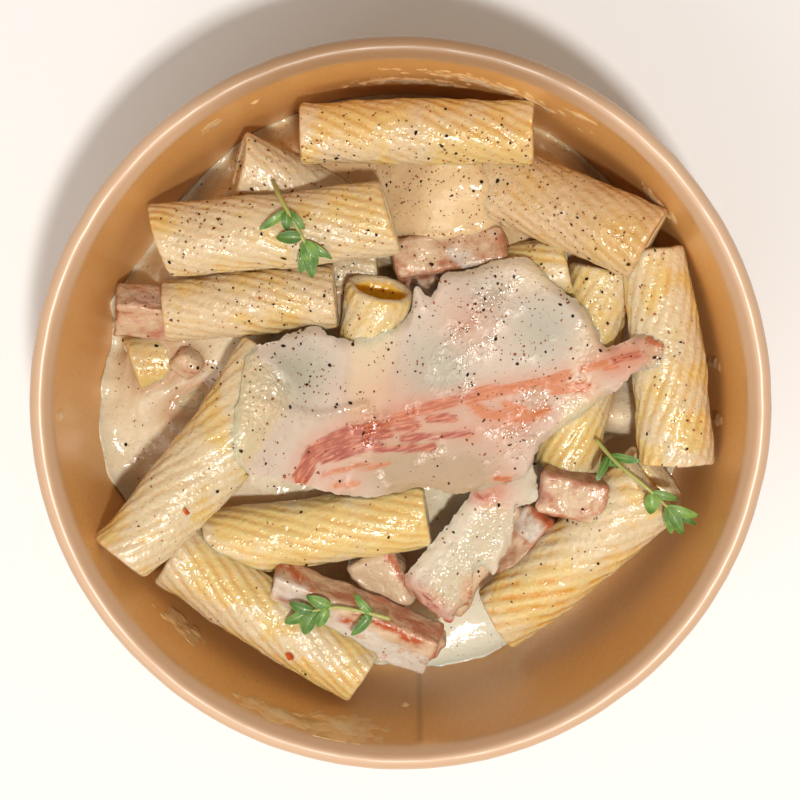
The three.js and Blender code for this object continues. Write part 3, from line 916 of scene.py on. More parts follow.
@dataclass
class Rigatone:
    """One ridged pasta tube; lengths in millimetres."""

    name: str
    start: Spot
    end: Spot
    width: float
    height: float
    ends: Plan = (1.0, 1.0)
    bend: float = 0.0
    cut_start: Plan = (0.0, 0.0)
    cut_end: Plan = (0.0, 0.0)
    cream: float = 0.45
    closed: Plan = (0.0, 0.0)
    bare: tuple[Spread, ...] = ()
    dents: tuple[Spread, ...] = ()
    tone_and_shade: float = 0.0  # how much painted shade darkens the whole tube, 0 to 1
    wall: float = 1.7
    ridges: int = 17
    ridge: float = USUAL_RIDGE
    amber: float = 0.2  # how deep the colour of its grooves is, 0 to 1, partly painted orange shade
    twist: float = 0.06  # radians a millimetre
    around: int = 144
    step: float = 0.55  # along the outside
    lip_steps: Plan = (0.3, 0.7)  # from each end, the two rings next to it
    wall_steps: Spot = (0.15, 0.5, 0.85)  # shares of the wall, across each end
    bore_steps: int = 24
    stations: list[Plan] = field(init=False)

    def __post_init__(self) -> None:
        """Works out the tube's own directions and its stations: along, and depth into the wall."""
        self.foot = Vector(self.start)
        run = Vector(self.end) - self.foot
        self.length = run.length
        self.axis = run.normalized()
        self.side = Vector((0, 0, 1)).cross(self.axis).normalized()
        self.up = self.axis.cross(self.side)
        self.seed = Vector((self.foot.x * 3.1, self.foot.y * 2.3, self.foot.z * 5.7))
        steps = round(self.length / self.step)
        lips = [near / self.length for near in self.lip_steps]
        out = [0.0, *lips, *[i / steps for i in range(2, steps - 1)]]
        out += [1 - lips[1], 1 - lips[0], 1.0]
        bore = [1 - i / self.bore_steps for i in range(self.bore_steps + 1)]
        self.stations = [(along, 0.0) for along in out]
        self.stations += [(1.0, depth) for depth in self.wall_steps]
        self.stations += [(along, 1.0) for along in bore]
        self.stations += [(0.0, depth) for depth in reversed(self.wall_steps)]
        self.stations.append(self.stations[0])

    def felt(self, spreads: Sequence[Spread], along: float, turn: float) -> float:
        """Adds up what soft-edged places do at a point.

        Args:
            spreads: the places.
            along: share of the tube's length.
            turn: angle round it, in radians.

        Returns:
            The sum of their strengths there.
        """
        total = 0.0
        for spread in spreads:
            swing = (turn - math.radians(spread.turn) + math.pi) % math.tau - math.pi
            run = (along - spread.along) * self.length
            total += spread.strength * bell(math.hypot(run, swing * self.width / 2), spread.size)
        return total

    def skin_at(self, place: Vector, along: float, turn: float) -> Skin:
        """Works out the grooves and the cream at a point.

        Args:
            place: the point on the straight tube, shifted by the tube's own seed.
            along: share of the tube's length.
            turn: angle round it, in radians.

        Returns:
            The skin there.
        """
        wander = 0.05 * rough(place, 9.0, 2)
        phase = self.ridges * (turn - self.twist * along * self.length + wander)
        fade = ease(-0.5, 0.2, rough(place + 2 * self.seed, 6.5, 2))
        groove = (0.5 - 0.5 * math.cos(phase)) ** 1.3 * lerp(0.5, 1.0, fade)
        bare = self.felt(self.bare, along, turn)
        upward = math.sin(turn)
        # painted shade: the sides that face down are coloured deeper and orange and carry less
        # cream
        low = ease(0.3, -0.35, upward)
        cream = ease(-0.5, 0.6, rough(place, 8.0, 3) + 2 * (self.cream - 0.5) + 0.3 * upward)
        cream = max(0.0, cream * (1 - bare) * (1 - 0.5 * low) * (1 - 0.35 * groove))
        return Skin(groove, fade, bare, low, cream)

    def drops(self, place: Vector, skin: Skin, dent: float, near_end: float) -> Plan:
        """Works out how far the outside and the bore lie under the full section.

        Args:
            place: the point on the straight tube, shifted by the tube's own seed.
            skin: the skin there.
            dent: how deeply the tube is dented there.
            near_end: how far the nearer end is.

        Returns:
            The drop of the outside and that of the bore.
        """
        lump = 0.5 * rough(place + self.seed, 11.0, 2) + 0.16 * rough(place, 3.6, 2)
        beads = pimples(place, 1.9) * ease(-0.35, 0.35, rough(place, 4.5, 2))
        film = 0.1 * skin.cream + 0.1 * max(skin.cream, 0.35) * beads
        edge = 0.3 * max(0.0, 1 - near_end / 0.7) ** 2
        outer = self.ridge * skin.groove * (1 - 0.6 * skin.cream) - film - lump + dent + edge
        return outer, self.wall - lump + dent

    def shaped(self, spot: Spot, along: float, depth: float) -> Vector:
        """Pinches, tapers, cuts and bends the straight tube, and lays it in the dish.

        Args:
            spot: a point across the tube, up from its axis and along it.
            along: share of its length.
            depth: share of its wall.

        Returns:
            The point in the dish.
        """
        x, y, z = spot
        shut = self.closed[0] * ease(0.3, 0.02, along) + self.closed[1] * ease(0.7, 0.98, along)
        y *= 1 - shut * lerp(0.12, 0.85, depth)
        to_start, to_end = (1 - along) ** 2, along**2
        scale = 1 + (self.ends[0] - 1) * to_start + (self.ends[1] - 1) * to_end
        x *= scale
        y *= scale
        z += to_start * (self.cut_start[0] * x + self.cut_start[1] * y)
        z += to_end * (self.cut_end[0] * x + self.cut_end[1] * y)
        x += self.bend * 4 * along * (1 - along)
        return self.foot + self.side * x + self.up * y + self.axis * z

    def corner(self, column: int, row: int) -> Placed:
        """Places one corner of the tube.

        Args:
            column: its step round the tube.
            row: its station.

        Returns:
            Its place and its marks.
        """
        along, depth = self.stations[row]
        turn = (column % self.around) / self.around * math.tau
        cos, sin = math.cos(turn), math.sin(turn)
        half_w, half_h = self.width / 2, self.height / 2
        run = along * self.length
        near_end = min(run, self.length - run)
        place = Vector((half_w * cos, half_h * sin, run)) + self.seed
        skin = self.skin_at(place, along, turn)
        dent = self.felt(self.dents, along, turn)
        drop = lerp(*self.drops(place, skin, dent, near_end), depth)
        lip = 0.3 * math.sin(math.pi * depth) * (1 if along > 0.5 else -1)
        ragged = 0.25 * rough(Vector((4 * cos, 4 * sin, along * 9)) + self.seed, 3.0, 2)
        z = run + lip + ragged * ease(1.5, 0.0, near_end)
        spot = self.shaped(((half_w - drop) * cos, (half_h - drop) * sin, z), along, depth)
        # inside marks the bore, which carries a painted glow
        inside = ease(0.2, 0.9, near_end) if depth == 1.0 else 0.0
        lipped = ease(0.0, 0.15, depth) * (1 - inside)
        # groove and amber mix the grooves' own colour with painted shade on the downward sides
        groove = 0.85 * skin.groove * self.ridge / USUAL_RIDGE
        deep = self.amber * skin.groove**1.5 * skin.fade * min(1.0, 0.3 + skin.bare)
        marks = {
            "cream": max(skin.cream * (1 - inside), 0.75 * lipped),
            "groove": max(groove, 0.8 * skin.low) * (1 - depth),
            "amber": max(deep, 0.5 * skin.low) * (1 - depth),
            "inside": inside,
            "tone_and_shade": self.tone_and_shade,
        }
        return spot, marks

    def build(self, finishes: Finishes) -> bpy.types.Object:
        """Makes the tube as one closed skin, outside and bore.

        Args:
            finishes: the materials.

        Returns:
            The tube.
        """
        mesh = new_mesh(("cream", "groove", "amber", "inside", "tone_and_shade"))
        weave_sheet(mesh, self.around, len(self.stations) - 1, self.corner)
        return finish_piece(mesh, f"pasta_{self.name}", finishes.pasta,
                            [f"rigatone_{self.name}"])


RIGATONI = (
    Rigatone("left_wall", (-26.2, 7.4, 38), (-58.8, -32.1, 48.5), 17.8, 13.8, (0.98, 0.76), 2.0,
             cream=0.6, closed=(0.0, 0.6), dents=(Spread(0.55, 60, 5, 0.5),), amber=0.25),
    Rigatone("back_right", (13.5, 46.8, 31), (51.3, 32.9, 41.5), 16.6, 13.6, (0.94, 0.96), 0.6,
             cut_end=(0.16, 0), cream=0.75, closed=(0.0, 0.95),
             bare=(Spread(0.88, 100, 5, 0.9), Spread(0.35, 80, 3.5, 0.5)), tone_and_shade=0.42, ridges=18),
    Rigatone("back", (-20.6, 55.3, 37.5), (27.2, 55.6, 38.5), 13.8, 13.0, (0.92, 0.96), 0.5,
             cream=0.42, closed=(0.5, 0.5),
             bare=(Spread(0.7, 110, 5, 0.7), Spread(0.25, 75, 4, 0.6), Spread(0.95, 90, 3, 0.7)),
             dents=(Spread(0.93, 60, 2.2, 0.9),), tone_and_shade=0.18, twist=0.085, ridges=15),
    Rigatone("left_upper", (-50.4, 33.3, 38.5), (-2.4, 38.2, 39.5), 15.6, 13.2, (1, 1), -0.5,
             (-0.22, 0), (-0.2, 0), cream=0.66, closed=(0.4, 0.3),
             bare=(Spread(0.92, 80, 4.5, 0.7), Spread(0.05, 50, 3, 0.6)), tone_and_shade=0.1, ridges=20),
    Rigatone("right_wall", (52.6, 31.3, 37), (57.8, -13.4, 41.5), 15.8, 13.4, (0.86, 1.0), 0.8,
             cut_end=(0.1, 0), cream=0.5, closed=(0.5, 0.6), bare=(Spread(0.65, 100, 5, 0.5),),
             amber=0.35),
    Rigatone("left_middle", (-49.8, 18.2, 35.5), (-14.0, 21.4, 36), 14.2, 13.0, (0.92, 0.97), 0.3,
             cream=0.62, closed=(0.6, 0.4), bare=(Spread(0.7, 120, 4, 0.6),), tone_and_shade=0.2, ridges=18),
    Rigatone("front_middle", (-41.6, -31.8, 36.5), (5.4, -25.2, 37), 15.2, 13.0, (0.94, 0.9), -0.6,
             cream=0.36, closed=(0.5, 0.5),
             bare=(Spread(0.8, 90, 8, 0.7), Spread(0.4, 70, 6, 0.5)), ridge=0.22),
    Rigatone("front_left", (-48.4, -33.4, 38.5), (-8.2, -60.0, 41), 15.4, 12.8, (1.0, 0.82), -0.6,
             cream=0.48, closed=(0.3, 0.5),
             bare=(Spread(0.95, 90, 4, 0.7), Spread(0.2, 60, 5, 0.5))),
    Rigatone("front_right", (20.9, -49.6, 32), (54.0, -17.4, 40), 16.6, 13.6, (0.88, 1.06), -0.6,
             (0.2, 0), (0.06, -0.4), cream=0.52, closed=(0.7, 0.9),
             bare=(Spread(0.2, 85, 6, 0.9), Spread(0.45, 130, 5, 0.6)), twist=0.075, ridges=15,
             ridge=0.34, amber=0.8),
    Rigatone("centre", (-9.0, -15.5, 33), (-4.4, 23.0, 36), 14.6, 11.6,
             cut_end=(0.1, -0.32), cream=0.5, bare=(Spread(0.85, 80, 6, 0.5),), ridge=0.22),
    Rigatone("right_inner", (42.8, 26.9, 32), (35.6, -15.8, 34), 15.0, 12.8, (0.96, 0.94), -0.5,
             closed=(0.3, 0.6),
             bare=(Spread(0.2, 90, 5, 0.6), Spread(0.85, 80, 6, 0.7)), ridge=0.2),
    Rigatone("under_slice", (10.4, 21.9, 30.7), (35.2, 27.4, 33), 13.4, 12.2, cream=0.5),
    Rigatone("left_low", (-30.0, 23.7, 25.0), (-5.2, 26.6, 25.2), 13.0, 12.6, cream=0.7,
             closed=(0.0, 0.6)),
    Rigatone("back_left", (-34.2, 48.8, 31.5), (0.5, 33.2, 22), 14.0, 13.0, cut_start=(-0.2, 0),
             cream=0.8, closed=(0.5, 0.0), ridge=0.2),
    Rigatone("left_sunk", (-58.8, 5.0, 25), (-26.0, 12.6, 17), 13.6, 12.6, cut_start=(-0.1, 0),
             cream=0.35, closed=(0.6, 0.0), bare=(Spread(0.15, 90, 6, 0.6),), ridge=0.14),
    Rigatone("left_deep", (-50.2, -7.2, 23.2), (-38.0, 6.0, 22), 13.0, 12.0, (0.9, 1.0),
             cream=0.55),
)


# ---- bacon


class Cut(Enum):
    """How a bacon piece shows its meat: how much cream covers it, from 0 to 1."""

    COATED = 0.95
    CREAMED = 0.7
    PINK = 0.45
    BARE = 0.2


@dataclass(frozen=True)
class Patch:
    """A coloured place on a piece: its line in plan, half its width and its strength."""

    line: tuple[Plan, ...]
    half: float
    strength: float = 1.0


@dataclass
class Bacon:
    """One cut block of bacon, its section turned about its axis; lengths in millimetres."""

    name: str
    start: Spot
    end: Spot
    width: float
    height: float
    turn: float
    cut: Cut = Cut.PINK
    corner: float = 1.7
    lean_side: float = 0.0
    tone_and_shade: float = 0.3  # how browned it is, with painted shade over pieces that lie in shade, 0 to 1
    sear: float = 0.6  # how strongly its edges are seared, 0 to 1
    taper: Plan = (1.0, 1.0)
    seared: tuple[Patch, ...] = ()
    # frosted patches: a cream film with a painted sheen
    with_cream_and_sheen: tuple[Patch, ...] = ()
    dulled: tuple[Patch, ...] = ()
    cuts: int = 27  # along each of its edges

    @staticmethod
    def painted(patches: Sequence[Patch], spot: Vector) -> float:
        """Finds how strongly patches colour a point.

        Args:
            patches: the patches, each with a ragged soft border.
            spot: the point.

        Returns:
            The strongest of them there, 0 to 1.
        """
        ragged = 0.7 * rough(spot, 2.4, 3)
        found = [0.0]
        for patch in patches:
            past = to_line((spot.x, spot.y), patch.line) - patch.half + ragged
            found.append(patch.strength * ease(0.7, -0.7, past))
        return max(found)

    def build(self, finishes: Finishes) -> bpy.types.Object:
        """Rounds, swells and dresses a block.

        Args:
            finishes: the materials.

        Returns:
            The piece.
        """
        foot = Vector(self.start)
        run = Vector(self.end) - foot
        axis = run.normalized()
        side = Vector((0, 0, 1)).cross(axis).normalized()
        up = axis.cross(side)
        half = Vector((self.width / 2, self.height / 2, run.length / 2))
        inner = half - Vector((self.corner,) * 3)
        turned = Matrix.Rotation(math.radians(self.turn), 3, "Z")
        seed = foot * 2.7
        mesh = new_mesh(("cream", "lean", "edge", "tone_and_shade", "sear", "cream_and_sheen", "dull"))
        bmesh.ops.create_cube(mesh, size=2)
        bmesh.ops.subdivide_edges(mesh, edges=mesh.edges, cuts=self.cuts, use_grid_fill=True)
        layers = mesh.verts.layers.float
        for vert in mesh.verts:
            place = Vector(c * h for c, h in zip(vert.co, half))
            core = Vector(max(-i, min(i, p)) for p, i in zip(place, inner))
            out = (place - core).normalized()
            spot = core + out * self.corner
            sharp = ease(0.02, 0.22, 1 - max(abs(c) for c in out))
            ridge = ease(0.7, 0.97, min(abs(place.x) / half.x, abs(place.y) / half.y))
            swell = 0.62 * rough(spot + seed, 4.8, 2) + 0.16 * rough(spot + seed, 2.0, 2)
            spot += out * (swell - 0.2)
            share = (place.z / half.z + 1) / 2
            spot.x *= lerp(self.taper[0], self.taper[1], share)
            spot.y *= lerp(self.taper[0], self.taper[1], share)
            spot.x += 0.5 * rough(Vector((0, 0, spot.z)) + seed, 7.0, 1)
            spot = turned @ spot
            out = turned @ out
            up_facing = (side * out.x + up * out.y + axis * out.z).z
            band = Vector((spot.x / 1.7, spot.y / 1.7, spot.z / 7)) + seed
            lean = 0.55 + 0.75 * rough(band, 1.0, 3) + self.lean_side * place.x / half.x
            cream = self.cut.value + 0.45 * up_facing + 0.5 * rough(spot + seed, 4.0, 3) - 0.25
            vert[layers["cream"]] = min(1.0, max(0.0, cream - 0.15 * sharp))
            vert[layers["lean"]] = min(1.0, max(0.0, lean))
            vert[layers["edge"]] = self.sear * max(0.7 * sharp, ridge)
            vert[layers["tone_and_shade"]] = self.tone_and_shade + 0.25 * rough(spot + seed, 3.0, 3)
            vert.co = foot + side * spot.x + up * spot.y + axis * (spot.z + half.z)
            vert[layers["sear"]] = self.painted(self.seared, vert.co)
            vert[layers["cream_and_sheen"]] = self.painted(self.with_cream_and_sheen, vert.co)
            vert[layers["dull"]] = self.painted(self.dulled, vert.co)
        # the piece named dark lies in shade: it takes the charred bacon in painted shade
        browned_and_shaded = self.name == "dark"
        material = finishes.bacon_browned if browned_and_shaded else finishes.bacon
        return finish_piece(mesh, f"cut_{self.name}", material, [f"bacon_{self.name}"])


BACON = (
    Bacon("front", (-28.0, -39.8, 41), (7.2, -54.6, 39), 10.6, 8.2, 24, corner=1.2,
          lean_side=0.1, tone_and_shade=0.4, sear=0.25,
          seared=(Patch(((-6.3, -46.9), (-1.4, -48.6), (2.0, -50.8), (4.5, -51.4)), 0.7),
                  Patch(((-26.8, -36.0), (-24.7, -34.9), (-23.0, -36.4), (-20.9, -38.1)), 0.8),
                  Patch(((-11.9, -46.6), (-10.6, -47.0)), 0.9),
                  Patch(((-20.0, -35.5), (-16.6, -37.7)), 1.0, 0.4)),
          with_cream_and_sheen=(Patch(((-26.0, -38.8), (-21.8, -40.1)), 2.2, 0.9),
                   Patch(((-15.2, -48.3), (-8.8, -52.2), (-3.4, -55.5), (4.0, -58.2)), 3.6)),
          dulled=(Patch(((-24.9, -41.7), (-23.8, -42.1)), 1.0, 0.8),
                  Patch(((1.7, -55.9), (2.6, -56.4)), 1.2, 0.6))),
    Bacon("right", (29.2, -18.4, 39.5), (43.6, -21.6, 40.5), 9.4, 8.4, 10, corner=1.3,
          lean_side=-0.1, sear=0.2,
          seared=(Patch(((39.9, -17.7), (40.0, -23.9)), 0.3, 0.7),
                  Patch(((41.6, -17.7), (41.9, -23.7)), 0.35, 0.6),
                  Patch(((38.5, -22.8), (42.9, -24.3)), 0.3, 0.6)),
          dulled=(Patch(((30.9, -14.8), (39.7, -16.0)), 1.0, 0.6),
                  Patch(((29.5, -15.4), (29.5, -21.0)), 0.9, 0.6))),
    Bacon("coated", (21.8, -20.6, 36.6), (7.8, -45.8, 34), 11.8, 9.2, -10, Cut.COATED, corner=2.4,
          sear=0.1, taper=(0.84, 1.0)),
    Bacon("front_inner", (-6.8, -33.6, 34.5), (-1.2, -46.2, 32.5), 11.2, 9.0, 8, Cut.COATED,
          lean_side=-0.3, tone_and_shade=0.0, sear=0.4,
          seared=(Patch(((-2.8, -33.8), (-1.3, -35.8), (0.0, -39.3)), 0.8, 0.8),
                  Patch(((-12.0, -34.5), (-9.2, -33.8)), 0.7, 0.7),
                  Patch(((0.6, -45.3), (1.9, -47.3)), 0.5, 0.7))),
    Bacon("between", (31.4, -25.0, 33), (21.0, -39.6, 29.5), 8.6, 8.6, 20, Cut.BARE, tone_and_shade=0.7,
          lean_side=-0.2, with_cream_and_sheen=(Patch(((25.1, -25.6), (28.1, -29.1)), 2.0, 0.9),),
          seared=(Patch(((29.0, -25.2), (32.4, -27.3)), 0.6, 0.7),)),
    Bacon("front_tip", (4.4, -53.4, 32), (9.0, -55.8, 31), 6.2, 6.0, 30, tone_and_shade=0.0),
    Bacon("back", (-1.8, 28.6, 32), (22.6, 32.0, 33.5), 9.4, 8.4, -14, corner=2.0,
          lean_side=-0.2, tone_and_shade=0.6, sear=0.3,
          seared=(Patch(((-0.7, 28.4), (2.3, 26.3)), 0.8, 0.6),
                  Patch(((17.6, 33.7), (20.1, 32.9)), 0.8, 0.3)),
          with_cream_and_sheen=(Patch(((11.1, 30.6), (14.5, 28.5)), 1.8, 0.9),)),
    Bacon("left", (-61.6, 17.8, 30), (-46.5, 16.4, 28.5), 9.4, 8.6, 32, corner=1.1,
          lean_side=-0.35, tone_and_shade=0.0, sear=0.15,
          with_cream_and_sheen=(Patch(((-60.2, 20.8), (-52.1, 20.3)), 1.2, 0.4),)),
    Bacon("dark", (1.0, 22.0, 29.5), (9.4, 22.6, 30.5), 8.0, 7.0, 12, Cut.BARE),
    Bacon("small", (-48.4, 8.6, 30.5), (-43.6, 4.2, 30.8), 6.4, 6.0, 35, Cut.CREAMED, corner=1.9,
          tone_and_shade=0.0, sear=0.2),
)


# ---- sauce


@dataclass
class Sauce:
    """The cream sauce with its uneven surface; lengths in millimetres."""

    bowl: KraftBowl
    level: float = 24.0
    mounds: tuple[Heap, ...] = (  # what rises over its level, and dips under it
        (0, 0, 30, 8.5), (10, 43, 11, 9.5), (34, 50, 9, 4.5), (-56, -4, 13, 2.2),
        (-38, 4, 9, 3.6), (-30, -20, 14, 3.0), (46, -14, 6, -6.0), (-12, -41, 5, -5.0),
        (-1, 26, 4, -7.0), (20, -62, 15, -11), (14, 46, 7, 4.0), (-43, -1, 5, -4),
        (-0.5, 27, 3, -9), (46.8, -5.5, 4.6, 10),
    )
    shore: tuple[Plan, ...] = (  # where it meets the wall: degrees from +X, height
        (-180, 24), (-172, 27.5), (-165, 28), (-158, 23), (-146, 13), (-105, 12), (-95, 15),
        (-84, 16.5), (-76, 15.5), (-67, 13.5), (-55, 11.5), (-20, 12), (10, 12), (45, 11.5),
        (90, 10), (112, 11.5), (121, 13.5), (132, 10), (150, 10.5), (157, 17), (163, 24),
        (168, 19), (172, 17.5), (176, 21), (180, 24),
    )
    shore_from: float = 0.86
    shore_radius: float = 65.5
    pool: Spot = (15.0, -59.0, 15.8)  # the smooth pool at the front
    pool_slope: Plan = (0.033, 0.083)
    pool_reach: Plan = (10.0, 3.0)
    sink: float = 0.15  # how far it goes into the wall, so that no gap shows
    around: int = 360
    rings: int = 120
    under_rows: int = 5

    def height(self, x: float, y: float) -> float:
        """Finds the height of the surface before its small waves.

        Args:
            x: across.
            y: towards the back.

        Returns:
            The height over that point in plan.
        """
        turn = math.degrees(math.atan2(y, x))
        low, high = next(
            pair for pair in zip(self.shore, self.shore[1:]) if pair[0][0] <= turn <= pair[1][0]
        )
        edge = lerp(low[1], high[1], ease(low[0], high[0], turn))
        wall = self.bowl.inside(self.level)
        nearness = ease(self.shore_from * wall, wall, math.hypot(x, y))
        return lerp(self.level + heaped(self.mounds, x, y), edge, nearness)

    def build(self, finishes: Finishes, ground: Ground) -> bpy.types.Object:
        """Fills the bowl and draws the surface up against the pieces and the wall.

        Args:
            finishes: the materials.
            ground: the pieces that stand in the sauce.

        Returns:
            The sauce.
        """
        floor = self.bowl.floor_top + 0.2

        def corner(column: int, row: int) -> Placed:
            """Places one corner, row by row from the middle of the top to that of the bottom.

            Args:
                column: its step round the sauce.
                row: its ring.

            Returns:
                Its place and its marks.
            """
            turn = (column % self.around) / self.around * math.tau
            cos, sin = math.cos(turn), math.sin(turn)
            below = row - self.rings
            if below > 0:
                share = (self.under_rows - below) / (self.under_rows - 1)
                deep = self.height(self.shore_radius * cos, self.shore_radius * sin) - 1
                z = floor if below > 2 else lerp(deep, floor, below / 3)
                radius = (self.bowl.inside(z) + self.sink) * share
                return Vector((radius * cos, radius * sin, z)), {}
            share = (row / self.rings) ** 0.8
            wall = self.bowl.inside(self.level) + self.sink
            x, y = wall * share * cos, wall * share * sin
            z = self.height(x, y)
            stretch = 1 + (self.bowl.inside(z) + self.sink - wall) / wall * share
            spot = Vector((x * stretch, y * stretch, z))
            aside, behind = spot.x - self.pool[0], spot.y - self.pool[1]
            calm = ease(*self.pool_reach, math.hypot(aside, behind))
            still = self.pool[2] - self.pool_slope[0] * aside - self.pool_slope[1] * behind
            z = lerp(z, still, calm)
            z += (1 - calm) * (0.55 * rough(spot, 8.0, 3) + 0.22 * rough(spot, 2.4, 2))
            near = ground.gap(Vector((spot.x, spot.y, z)), 5.0)
            climb = 1.5 + 2.4 * rough(Vector((30 * cos, 30 * sin, 0)), 3.0, 4)
            z += 1.3 * math.exp(-near / 1.1) + climb * math.exp(-(1 - share) * wall / 1.4)
            warm = 0.75 * ease(8, 36, y) * ease(-50, -20, x)
            # a painted pool of light on the front pool
            lit_pool = ease(-42, -53, y) * ease(-6, 6, x)
            # painted shade beside the pieces, weaker at the back
            crevice_shade = lerp(0.65, 0.2, ease(20, 34, y)) * math.exp(-near / 1.2)
            marks = {"warm": warm, "lit_pool": lit_pool, "crevice_shade": crevice_shade}
            return Vector((spot.x, spot.y, z)), marks

        mesh = new_mesh(("warm", "lit_pool", "crevice_shade"))
        weave_sheet(mesh, self.around, self.rings + self.under_rows, corner)
        return finish_piece(mesh, "cream_sauce", finishes.sauce, ["sauce"])


# ---- cured slice


@dataclass(frozen=True)
class Streak:
    """A lean streak: its line in plan, half its width, how orange it is and how strong."""

    line: tuple[Plan, ...]
    half: float
    orange: float = 0.0
    strength: float = 1.0


STREAKS = (
    Streak(((-21.0, -16.2), (-19.3, -12.6), (-16.2, -9.2), (-11.2, -7.3), (-4.3, -6.2)), 1.5, 0.1),
    Streak(((-4.3, -6.2), (-0.7, -4.1), (4.5, -2.0), (12.3, 0.1), (16.5, 1.2)), 0.9, 0.45),
    Streak(((16.5, 1.2), (24.8, 2.9), (31.4, 4.1), (34.7, 5.4)), 1.0, 0.9),
    Streak(((-16.4, -12.6), (-11.2, -11.5), (-6.0, -10.3), (-0.7, -10.5), (6.6, -10.2)), 0.6),
    Streak(((-18.9, -10.5), (-13.5, -10.3), (-7.8, -9.2), (-2.8, -7.1)), 0.9),
    Streak(((-0.7, -6.0), (3.4, -5.6)), 0.6, 0.2),
    Streak(((6.1, -3.9), (10.9, -3.9)), 0.7, 0.1),
    Streak(((0.3, -8.3), (6.1, -7.7), (14.5, -7.0)), 0.35),
    Streak(((-16.2, -15.6), (-11.2, -14.7), (-2.8, -13.6)), 0.6, 0.8, 0.62),
    Streak(((-14.1, -18.3), (-9.5, -17.5)), 0.6, 1.0, 0.6),
    Streak(((14.4, -0.5), (17.3, -2.6), (20.7, -3.4), (25.7, -3.9), (30.6, -2.2)), 0.8, 0.9),
    Streak(((22.3, -1.1), (25.7, -2.6)), 0.7, 1.0),
    Streak(((32.2, 2.5), (38.9, 2.9)), 0.9, 0.9),
    Streak(((38.4, 6.6), (42.9, 7.9)), 0.5, 0.9),
    Streak(((42.9, 6.9), (45.0, 7.3)), 0.25, 0.8),
    Streak(((44.6, 8.7), (49.5, 10.0)), 0.45, 0.2),
    Streak(((51.5, 13.3), (54.0, 11.9)), 0.4, 0.6),
    Streak(((20.3, -16.6), (22.9, -17.2)), 0.4, 0.6),
)


COAT_STREAKS = (
    Streak(((0.2, -39.2), (1.4, -41.6), (4.9, -44.9), (7.5, -46.9), (10.3, -48.8)), 0.7, 0.1, 0.62),
    Streak(((3.4, -42.0), (7.2, -45.0)), 1.0, 0.1, 0.45),
    Streak(((15.1, -40.4), (14.6, -44.2), (12.4, -46.6)), 0.3, 0.2, 0.5),
    Streak(((15.6, -20.4), (17.6, -21.1), (19.4, -19.6)), 0.3, 0.1, 0.6),
)


